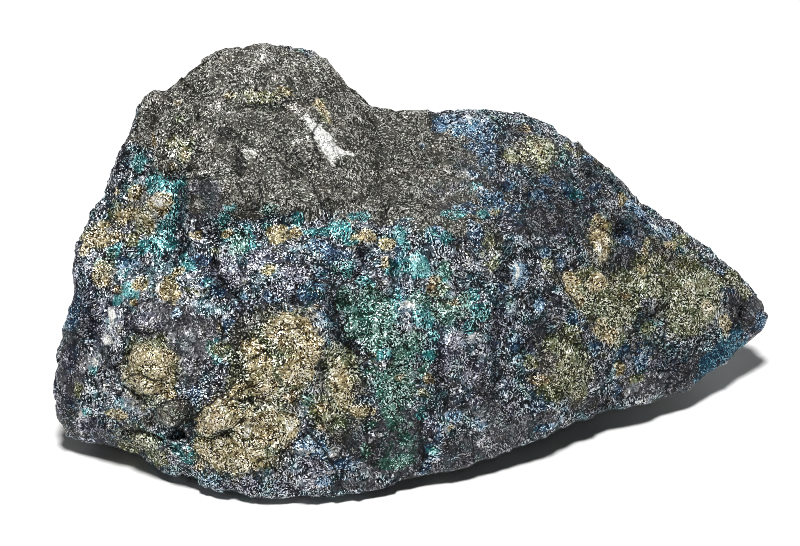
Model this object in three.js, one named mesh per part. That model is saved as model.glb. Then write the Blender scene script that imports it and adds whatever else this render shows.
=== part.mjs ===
// Peacock ore: one broken lump of bornite and chalcopyrite, about as wide as a hand.
// Units are millimetres, +Z is up. X runs along the lump, from the steep left end to the
// overhanging right tip, and the broad tarnished face looks towards -Y. The origin is the
// middle of the bounding box, on the plane that the lump rests on.
//
// The lump is star-shaped about its heart: every surface point is seen from there along one
// ray. It is the union of three broken blocks, each the hull of its hand-placed corners, and
// scoops, swells and fracture steps are then taken off or laid on along the same rays.

import * as THREE from 'three';
import { ConvexHull } from 'three/addons/math/ConvexHull.js';
import { ImprovedNoise } from 'three/addons/math/ImprovedNoise.js';
import { mergeVertices } from 'three/addons/utils/BufferGeometryUtils.js';

// Overall shape
const HEART = new THREE.Vector3(-5, 0, 17);
const REACH = new THREE.Vector3(52, 27, 24);   // half sizes that the first rays are aimed by
const RAY_DETAIL = 19;                         // 20 * (19 + 1)^2 = 8000 triangles
const SPREAD_PASSES = 160;                     // how often the rays are evened out
const EDGE_SHARPNESS = 60;                     // higher leaves the blocks' edges sharper
const SEAM_SHARPNESS = 32;                     // higher leaves a sharper crease between blocks

// Corners of the three blocks, each [x, y, z]
const BODY = [
  [-34, -22.2, 0.6], [-27, -26.8, 0.5], [-19, -28.8, 0.3], [-12, -28.4, 0.6], [-2, -26.2, 1],
  [7, -22.9, 2], [12, -20, 2.8], [19, -16.8, 4.6],
  [-38.5, -19.2, 2.8], [-46.5, -14.8, 0.8], [-48.8, -15, 6],
  [-49, -13, 11], [-47.5, -10, 17], [-45.5, -5, 24], [-43, -1, 28.5], [-36, -21, 15], [-25, -26, 10],
  [-11, -22, 20], [2, -19, 18], [-25, -15, 28], [-11, -11, 32], [3, -8, 31], [14, -7, 28],
  [-6, 11, 38.6], [2, 12, 36.4], [10, 13, 36.8], [18, 13, 34.6], [-39, 12, 8], [-30, 24, 12],
  [-10, 27, 14], [10, 26, 14], [20, 22, 10], [-34, 12, 2.5], [-20, 20, 2.5], [0, 21, 2.5], [15, 14, 2],
  [-22, -9, -1], [-18, 6, -1], [-5, 7, -1], [2, -5, -1], [-11, -17, -1],
];
const PEAK = [
  [-29, 11, 47], [-22, 14, 46.6], [-15, 15, 45.6], [-11, 13, 43.6], [-6.5, 11, 38.8],
  [-36.3, 8, 42], [-40.2, 4, 36], [-39.6, 2, 31.5], [-42.4, -1, 27.6], [-38, -5, 31], [-26, -9, 36],
  [-13, -9, 34], [-5, -6, 31], [-33, 18, 34], [-20, 24, 30], [-6, 22, 28], [-37, 14, 22],
  [-30, -6, 8], [4, 6, 8], [2, -8, 10], [-12, 18, 10],
];
const WEDGE = [
  [3, 12, 36.4], [10, 13, 36.9], [18.4, 13, 35], [23, 13, 31.8], [27.2, 12, 26.6], [30.4, 11, 22.4],
  [37.4, 10, 18.4], [41.6, 9, 15.6], [46.4, 7, 13.2], [48.9, 6.2, 11.2], [49.4, 5, 8.8],
  [48.2, 2.8, 5.6], [44.2, -0.6, 4.3],
  [37.8, -5.8, 3], [33, -7.9, 3.8], [26, -11.2, 4.7], [19, -16.8, 4.6], [12, -20, 2.7], [2, -18, 18],
  [37.5, -4.5, 7.5], [45.5, 2.5, 11],
  [14, -7, 28], [29, -6, 17], [22, -12, 14], [-10, -9, 28], [12, 24, 20], [28, 20, 12], [38, 14, 6],
  [10, 20, 3], [26, 12, 2], [-16, 6, 12],
];

// Scoops (positive depth) and swells (negative depth): middle, radius and depth
const RELIEF = [
  { at: [-25, -14, 26], radius: 6, depth: 1.6 },      // hollow under the dull grey peak
  { at: [-22, -18, 22], radius: 4, depth: 0.9 },
  { at: [-12, -15, 27], radius: 4, depth: 0.8 },      // head of the gully beside the green band
  { at: [-10, -18, 23], radius: 4, depth: 1.1 },
  { at: [-7.5, -20, 19.5], radius: 4, depth: 1.0 },
  { at: [-35, -19.6, 16.6], radius: 4.5, depth: -1.2 },   // three round gold nodules
  { at: [-26, -24, 12], radius: 3.6, depth: -0.9 },
  { at: [-32, -22.7, 11.5], radius: 3.4, depth: -0.6 },
  { at: [-30.5, -23, 8], radius: 3, depth: 1.0 },     // pit between the nodules
  { at: [15, -10, 23], radius: 5, depth: 1.2 },       // shallow valley across the right half
  { at: [19, -12, 16], radius: 4.5, depth: 0.9 },
  { at: [27, -3, 20], radius: 6, depth: 0.8 },
  { at: [-14, -25, 8], radius: 4, depth: -0.7 },
  { at: [-32, 10, 44], radius: 8, depth: 1.8 },       // dent between the peak and its left shoulder
  { at: [-8.5, 13, 40], radius: 5, depth: 1.2 },      // foot of the peak's right side
  { at: [-1, 12, 37.6], radius: 8, depth: 0.9 },
  { at: [32, 11, 23], radius: 7, depth: 1.4 },        // dips in the long right slope
  { at: [38.5, 9.6, 18], radius: 5, depth: 0.6 },
  { at: [44.5, 8, 13.5], radius: 3, depth: -0.6 },
  { at: [8, 13, 37], radius: 6, depth: 0.9 },
  { at: [16, 13, 36], radius: 6, depth: 0.7 },
  { at: [22.5, -12, 3], radius: 9, depth: 1.2 },      // undercut below the right half
  { at: [24, -6, 0], radius: 9, depth: 1.5 },
  { at: [14.5, -17, 1.5], radius: 5, depth: 0.6 },
  { at: [36, -5, 4], radius: 4, depth: -1.1 },
  { at: [-37.5, 8, 39], radius: 4, depth: -0.7 },     // corner of the left shoulder
  { at: [-44.5, -3.5, 25], radius: 6, depth: -0.9 },  // swell high on the left end
  { at: [-46.3, -8, 19], radius: 4, depth: 0.6 },
  { at: [-46.5, -14.5, 2.5], radius: 4, depth: -0.7 },   // foot of the left end
  { at: [-41, -17.5, 1.2], radius: 5, depth: 1.6 },
  { at: [-37.5, -20.5, 3], radius: 4, depth: 0.8 },
];

// Fracture steps: each set breaks the surface into chips of one size
const CHIPS = [
  { size: 12, tilt: 0.05 },
  { size: 5, tilt: 0.13 },
];
const GRIT_SIZE = 2.2;
const GRIT_HEIGHT = 0.25;

const noise = new ImprovedNoise();

/** The planes of a block's hull, as unit normals with their distances from the heart. */
function blockPlanes(corners) {
  const points = corners.map((corner) => new THREE.Vector3(...corner));
  return new ConvexHull().setFromPoints(points).faces.map((face) => ({
    normal: face.normal,
    offset: face.constant - face.normal.dot(HEART),
  }));
}

/** How far the heart sees along a ray before it leaves a block with slightly worn edges. */
function blockReach(planes, ray) {
  let sum = 0;
  for (const { normal, offset } of planes) {
    sum += Math.max(0, normal.dot(ray) / offset) ** EDGE_SHARPNESS;
  }
  return sum ** (-1 / EDGE_SHARPNESS);
}

/** A repeatable value from 0 to 1 for one lattice cell. */
function cellValue(x, y, z, salt) {
  const wave = Math.sin(x * 127.1 + y * 311.7 + z * 74.7 + salt * 53.3) * 43758.5453;
  return wave - Math.floor(wave);
}

/** Height of the tilted chip that a surface point belongs to. */
function chipHeight(point, { size, tilt }) {
  const home = point.clone().divideScalar(size).floor();
  let nearest = Infinity;
  let height = 0;
  for (let i = -1; i <= 1; i++) {
    for (let j = -1; j <= 1; j++) {
      for (let k = -1; k <= 1; k++) {
        const cell = [home.x + i, home.y + j, home.z + k];
        const seed = new THREE.Vector3(...cell.map((c, axis) => (c + cellValue(...cell, axis)) * size));
        const away = point.clone().sub(seed);
        if (away.length() < nearest) {
          nearest = away.length();
          const lean = new THREE.Vector3(...cell.map((c, axis) => cellValue(...cell, axis + 3) - 0.5));
          height = 2 * tilt * lean.dot(away);
        }
      }
    }
  }
  return height;
}

/** Height that the scoops and swells add at a surface point. */
function reliefHeight(point) {
  let height = 0;
  for (const { at, radius, depth } of RELIEF) {
    const nearness = 1 - point.distanceTo(new THREE.Vector3(...at)) / radius;
    height -= depth * THREE.MathUtils.smoothstep(nearness, 0, 1);
  }
  return height;
}

/** The point where a ray leaves the union of the blocks. */
function blockPoint(blocks, ray) {
  let sum = 0;
  for (const planes of blocks) {
    sum += blockReach(planes, ray) ** SEAM_SHARPNESS;
  }
  return ray.clone().multiplyScalar(sum ** (1 / SEAM_SHARPNESS)).add(HEART);
}

/** Moves each ray to the middle of its neighbours' points, so that all triangles get alike. */
function spreadRays(rays, index, blocks) {
  const points = rays.map((ray) => blockPoint(blocks, ray));
  const sums = rays.map(() => new THREE.Vector3());
  const counts = rays.map(() => 0);
  for (let i = 0; i < index.count; i++) {
    const here = index.getX(i);
    const next = index.getX(i % 3 === 2 ? i - 2 : i + 1);
    sums[here].add(points[next]);
    counts[here] += 1;
  }
  rays.forEach((ray, i) => ray.copy(sums[i]).divideScalar(counts[i]).sub(HEART).normalize());
}

/** The broken surface along every ray of a sphere. */
function oreGeometry() {
  const blocks = [BODY, PEAK, WEDGE].map(blockPlanes);
  const sphere = new THREE.IcosahedronGeometry(1, RAY_DETAIL);
  sphere.deleteAttribute('normal');
  sphere.deleteAttribute('uv');
  const geometry = mergeVertices(sphere);
  const position = geometry.attributes.position;
  const rays = [];
  for (let i = 0; i < position.count; i++) {
    rays.push(new THREE.Vector3().fromBufferAttribute(position, i).multiply(REACH).normalize());
  }
  for (let pass = 0; pass < SPREAD_PASSES; pass++) {
    spreadRays(rays, geometry.index, blocks);
  }
  rays.forEach((ray, i) => {
    const point = blockPoint(blocks, ray);
    let height = reliefHeight(point);
    for (const chips of CHIPS) {
      height += chipHeight(point, chips);
    }
    height += GRIT_HEIGHT * noise.noise(...point.clone().divideScalar(GRIT_SIZE));
    point.addScaledVector(ray, height);
    if (point.z < 0) {
      point.addScaledVector(ray, -point.z / ray.z);   // the small flat spot that it rests on
    }
    position.setXYZ(i, point.x, point.y, point.z);
  });
  return geometry;
}

/** Moves a geometry so that the middle of its box's underside is the origin. */
function standOnOrigin(geometry) {
  geometry.computeBoundingBox();
  const { min, max } = geometry.boundingBox;
  geometry.translate(-(min.x + max.x) / 2, -(min.y + max.y) / 2, -min.z);
  return geometry;
}

const ore = new THREE.Mesh(
  standOnOrigin(oreGeometry()),
  new THREE.MeshStandardMaterial({ color: 0x4d5158, roughness: 0.45, metalness: 0.6 }),
);
ore.name = 'peacock_ore';

const specimen = new THREE.Group();
specimen.add(ore);

export default specimen;
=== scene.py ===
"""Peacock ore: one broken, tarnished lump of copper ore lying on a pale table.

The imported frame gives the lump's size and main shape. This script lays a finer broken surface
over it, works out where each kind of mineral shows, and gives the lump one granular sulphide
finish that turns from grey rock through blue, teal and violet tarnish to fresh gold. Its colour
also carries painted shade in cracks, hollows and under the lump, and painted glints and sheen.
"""

import logging
import math
from dataclasses import dataclass
from enum import Enum
from typing import Any, Callable, Iterator, Sequence

import bmesh
import bpy
import numpy as np
from mathutils import Matrix, Vector, noise
from mathutils.bvhtree import BVHTree


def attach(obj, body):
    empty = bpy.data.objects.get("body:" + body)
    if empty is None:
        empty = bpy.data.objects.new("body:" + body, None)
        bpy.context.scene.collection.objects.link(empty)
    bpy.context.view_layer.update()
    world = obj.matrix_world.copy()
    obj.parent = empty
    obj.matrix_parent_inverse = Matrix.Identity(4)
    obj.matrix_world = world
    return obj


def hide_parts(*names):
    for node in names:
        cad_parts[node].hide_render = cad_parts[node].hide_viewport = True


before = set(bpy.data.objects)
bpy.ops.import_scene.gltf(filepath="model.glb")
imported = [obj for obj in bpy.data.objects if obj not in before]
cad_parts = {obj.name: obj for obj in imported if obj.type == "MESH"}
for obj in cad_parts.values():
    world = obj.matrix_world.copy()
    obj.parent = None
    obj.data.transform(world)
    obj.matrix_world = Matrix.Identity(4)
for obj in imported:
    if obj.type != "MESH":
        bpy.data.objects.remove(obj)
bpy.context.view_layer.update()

LOG = logging.getLogger("peacock_ore")
MM = 0.001
ORE_NODE = "peacock_ore"
BODY = "root"

Triple = tuple[float, float, float]
Range = tuple[float, float, float, float]
MEAN = 0.5  # of a chance value or a noise
BLACK: Triple = (0.0, 0.0, 0.0)
GREY: Triple = (MEAN, MEAN, MEAN)
WHITE: Triple = (1.0, 1.0, 1.0)


# ------------------------------------------------------------------ node graphs


def _operator(operation: str, swapped: bool = False) -> Callable[["Sock", Any], "Sock"]:
    """Makes one of Sock's operators.

    Args:
        operation: The Math node's operation.
        swapped: Whether the socket is the second value.

    Returns:
        A method that adds the node and wraps its result.
    """
    if swapped:
        return lambda sock, other: sock.graph.math(operation, other, sock)
    return lambda sock, other: sock.graph.math(operation, sock, other)


class Sock:
    """An output socket that can be used in Python sums."""

    def __init__(self, graph: "Graph", socket: bpy.types.NodeSocket | None) -> None:
        """Wraps an output socket, or None for a node without outputs."""
        self.graph = graph
        self.socket = socket

    __add__ = _operator("ADD")
    __radd__ = _operator("ADD", swapped=True)
    __sub__ = _operator("SUBTRACT")
    __rsub__ = _operator("SUBTRACT", swapped=True)
    __mul__ = _operator("MULTIPLY")
    __rmul__ = _operator("MULTIPLY", swapped=True)
    __truediv__ = _operator("DIVIDE")
    __rtruediv__ = _operator("DIVIDE", swapped=True)
    __pow__ = _operator("POWER")

    def __abs__(self) -> "Sock":
        """This value without its sign."""
        return self.graph.math("ABSOLUTE", self)

    def other(self, name: str) -> "Sock":
        """Another output of the node that this one belongs to."""
        return Sock(self.graph, self.socket.node.outputs[name])

    def between(self, low: Any, high: Any, start: float = 0.0, end: float = 1.0) -> "Sock":
        """Smoothly maps this value from low..high to start..end.

        Args:
            low: The value that gives start.
            high: The value that gives end.
            start: The first result.
            end: The last result.

        Returns:
            The mapped value, held at both ends.
        """
        return self.graph.node(
            "ShaderNodeMapRange",
            {"interpolation_type": "SMOOTHSTEP"},
            {"Value": self, "From Min": low, "From Max": high, "To Min": start, "To Max": end},
        )

    def ramp(self, low: float, high: float) -> "Sock":
        """Maps this value straight from low..high to 0..1, held at both ends."""
        return self.graph.node("ShaderNodeMapRange", {}, {"Value": self, "From Min": low, "From Max": high})


class Graph:
    """Builds a node tree from Python expressions."""

    def __init__(self, tree: bpy.types.NodeTree) -> None:
        """Starts on an empty shader or geometry tree."""
        self.tree = tree
        tree.nodes.clear()

    def node(
        self,
        kind: str,
        settings: dict[str, Any] | None = None,
        inputs: dict[str | int, Any] | None = None,
        output: str | int = 0,
    ) -> Sock:
        """Adds one node.

        Args:
            kind: The node's type.
            settings: Properties set before the inputs; "stops" fills a colour ramp.
            inputs: Numbers, tuples or wrapped sockets by input name or number.
            output: The output that the caller wants.

        Returns:
            The wanted output, wrapped.
        """
        made = self.tree.nodes.new(kind)
        for name, value in (settings or {}).items():
            if name == "stops":
                self._fill_ramp(made.color_ramp, value)
            else:
                setattr(made, name, value)
        for name, value in (inputs or {}).items():
            if isinstance(value, Sock):
                self.tree.links.new(value.socket, made.inputs[name])
            else:
                made.inputs[name].default_value = value
        return Sock(self, made.outputs[output] if made.outputs else None)

    @staticmethod
    def _fill_ramp(ramp: bpy.types.ColorRamp, stops: Sequence[tuple[float, Triple]]) -> None:
        """Gives a colour ramp its stops.

        Args:
            ramp: The ramp of a new node.
            stops: Places from 0 to 1 with their linear colours.
        """
        while len(ramp.elements) < len(stops):
            ramp.elements.new(0.5)
        for element, (place, colour) in zip(ramp.elements, stops):
            element.position = place
            element.color = (*colour, 1.0)

    def math(self, operation: str, *values: Any) -> Sock:
        """Adds one Math node on two or fewer values."""
        return self.node("ShaderNodeMath", {"operation": operation}, dict(enumerate(values)))

    def vector(self, operation: str, *values: Any, output: str = "Vector") -> Sock:
        """Adds one Vector Math node."""
        return self.node("ShaderNodeVectorMath", {"operation": operation}, dict(enumerate(values)), output)

    def scaled(self, vector: Any, factor: Any) -> Sock:
        """A vector times a number."""
        return self.node("ShaderNodeVectorMath", {"operation": "SCALE"}, {0: vector, "Scale": factor})

    def blend(self, factor: Any, first: Any, second: Any) -> Sock:
        """Mixes two colours.

        Args:
            factor: 0 for the first colour, 1 for the second.
            first: A wrapped socket or a linear colour.
            second: A wrapped socket or a linear colour.

        Returns:
            The mixed colour.
        """
        inputs = {0: factor}
        for slot, colour in ((6, first), (7, second)):
            inputs[slot] = colour if isinstance(colour, Sock) else (*colour, 1.0)
        return self.node("ShaderNodeMix", {"data_type": "RGBA"}, inputs, 2)

    def cells(self, coordinates: Sock, scale: Any, output: str = "Distance", feature: str = "F1") -> Sock:
        """A Voronoi pattern with so many cells in a metre, its distances in cell sizes."""
        inputs = {"Vector": coordinates, "Scale": scale}
        return self.node("ShaderNodeTexVoronoi", {"feature": feature}, inputs, output)

    def clouds(self, coordinates: Sock, size: float, detail: float, output: str | int = 0) -> Sock:
        """A soft noise pattern about 0.5, with its largest swells so many metres across."""
        inputs = {"Vector": coordinates, "Scale": 1.0 / size, "Detail": detail}
        return self.node("ShaderNodeTexNoise", {}, inputs, output)

    def stored(self, name: str) -> Sock:
        """Reads one of the lump's stored numbers in a material."""
        return self.node("ShaderNodeAttribute", {"attribute_name": name}, {}, "Fac")

    def named(self, name: str) -> Sock:
        """Reads one of the lump's stored numbers in a geometry tree."""
        settings = {"data_type": "FLOAT"}
        return self.node("GeometryNodeInputNamedAttribute", settings, {"Name": name}, "Attribute")

    def parts(self, colour: Sock) -> tuple[Sock, Sock, Sock]:
        """The three parts of a colour."""
        red = self.node("ShaderNodeSeparateColor", {}, {0: colour}, 0)
        return red, red.other("Green"), red.other("Blue")


# ------------------------------------------------------------------ the view


@dataclass(frozen=True)
class View:
    """Where the lump is looked at from, and what is framed."""

    aim: Triple = (-0.00233, -0.00271, 0.02047)
    distance: float = 0.480
    elevation: float = 32.0
    pixel: float = 0.133 * MM
    width: int = 800
    height: int = 546
    sensor: float = 36.0
    clip: tuple[float, float] = (0.01, 20.0)

    @property
    def forward(self) -> Vector:
        """The direction that the camera looks in."""
        tilt = math.radians(self.elevation)
        return Vector((0.0, math.cos(tilt), -math.sin(tilt)))

    @property
    def up(self) -> Vector:
        """The upward direction in the view."""
        tilt = math.radians(self.elevation)
        return Vector((0.0, math.sin(tilt), math.cos(tilt)))

    @property
    def place(self) -> Vector:
        """Where the camera stands."""
        return Vector(self.aim) - self.distance * self.forward

    def ray(self, x: float, y: float) -> Vector:
        """The direction in which a pixel of the view lies.

        Args:
            x: Pixels from the left.
            y: Pixels from the top.

        Returns:
            A unit vector from the camera.
        """
        across = (x - self.width / 2) * self.pixel
        down = (y - self.height / 2) * self.pixel
        return (self.forward * self.distance + Vector((1, 0, 0)) * across - self.up * down).normalized()

    def camera(self) -> bpy.types.Object:
        """Adds the camera and makes it the scene's own.

        Returns:
            The camera object.
        """
        data = bpy.data.cameras.new("camera")
        data.sensor_width = self.sensor
        data.lens = self.sensor * self.distance / (self.width * self.pixel)
        data.clip_start, data.clip_end = self.clip
        camera = bpy.data.objects.new("camera", data)
        axes = Matrix((Vector((1, 0, 0)), self.up, -self.forward)).transposed()
        camera.matrix_world = Matrix.Translation(self.place) @ axes.to_4x4()
        bpy.context.scene.collection.objects.link(camera)
        bpy.context.scene.camera = camera
        return camera


# ------------------------------------------------------------------ what shows where


class Mineral(Enum):
    """The kinds of surface that the lump shows, in the order they are laid over each other."""

    ROCK = "rock"
    # Smooth darker grey: partly the rock's own dull grey, partly painted shade on lower and side faces
    # turned from the light
    SLATE_AND_SHADE = "slate"
    BLUE = "blue"
    VIOLET = "violet"
    TEAL = "teal"
    GREEN = "green"
    BROWN = "brown"
    BRASS = "brass"
    GOLD = "gold"
    COPPER = "copper"
    # Darkens what lies below it: dark tarnish, and painted shade in gullies, cracks, under ledges and on
    # the underside
    DARK_AND_SHADE = "deep"
    # Painted glints: bright flecks over what lies below, and painted light on faces turned from the lamp
    PAINTED_GLINTS = "painted_glints"
    # Painted sheen: smooth bright facets, and painted light on faces turned from the lamp
    PAINTED_SHEEN = "painted_sheen"
    # White quartz, and painted glints in small bright spots
    QUARTZ_AND_GLINTS = "quartz_and_glints"
    GLAZE = "glaze"


@dataclass(frozen=True)
class Patch:
    """An oval of one mineral on the front: its middle and half sizes in pixels of the view.

    Its strength is 1 where the mineral covers all. It is turned anticlockwise, in degrees.
    """

    x: float
    y: float
    wide: float
    high: float
    strength: float = 1.0
    turn: float = 0.0


@dataclass(frozen=True)
class Spot:
    """A round patch of one mineral anywhere: its middle and radius in millimetres."""

    x: float
    y: float
    z: float
    radius: float
    strength: float = 1.0


SWELL_RIM = 1.3  # where a knob ends, in half sizes of its oval
SWELL_RIM_LOSS = 0.3  # how much nearer that is on a blunt one
SWELL_STEEPNESS = 0.6  # how much narrower the slope of a blunt one is


def eased(value: np.ndarray) -> np.ndarray:
    """Holds values between 0 and 1 and eases them at both ends."""
    held = np.clip(value, 0.0, 1.0)
    return held * held * (3.0 - 2.0 * held)


@dataclass(frozen=True)
class Swell:
    """A knob (height above 0) or a hollow (below 0) on the front, middle in pixels of the view.

    A blunt one keeps its height further out and falls off more steeply.
    """

    x: float
    y: float
    wide: float
    high: float
    height: float
    turn: float = 0.0
    blunt: float = 0.5

    def profile(self, away: np.ndarray) -> np.ndarray:
        """The height in metres at distances from the middle, 1 at the oval's rim."""
        rim = SWELL_RIM - SWELL_RIM_LOSS * self.blunt
        return self.height * MM * eased((rim - away) / (rim * (1.0 - SWELL_STEEPNESS * self.blunt)))


@dataclass(frozen=True)
class Crack:
    """A line of breakage on the front, through pixels of the view, its sizes in millimetres."""

    points: tuple[tuple[float, float], ...]
    depth: float = 0.5
    reach: float = 0.4


def patches(*rows: Sequence[float]) -> tuple[Patch, ...]:
    """Makes patches from rows of x, y, wide, high and, where needed, strength and turn."""
    return tuple(Patch(*row) for row in rows)


def spots(*rows: Sequence[float]) -> tuple[Spot, ...]:
    """Makes spots from rows of x, y, z, radius and, where needed, strength."""
    return tuple(Spot(*row) for row in rows)


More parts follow.
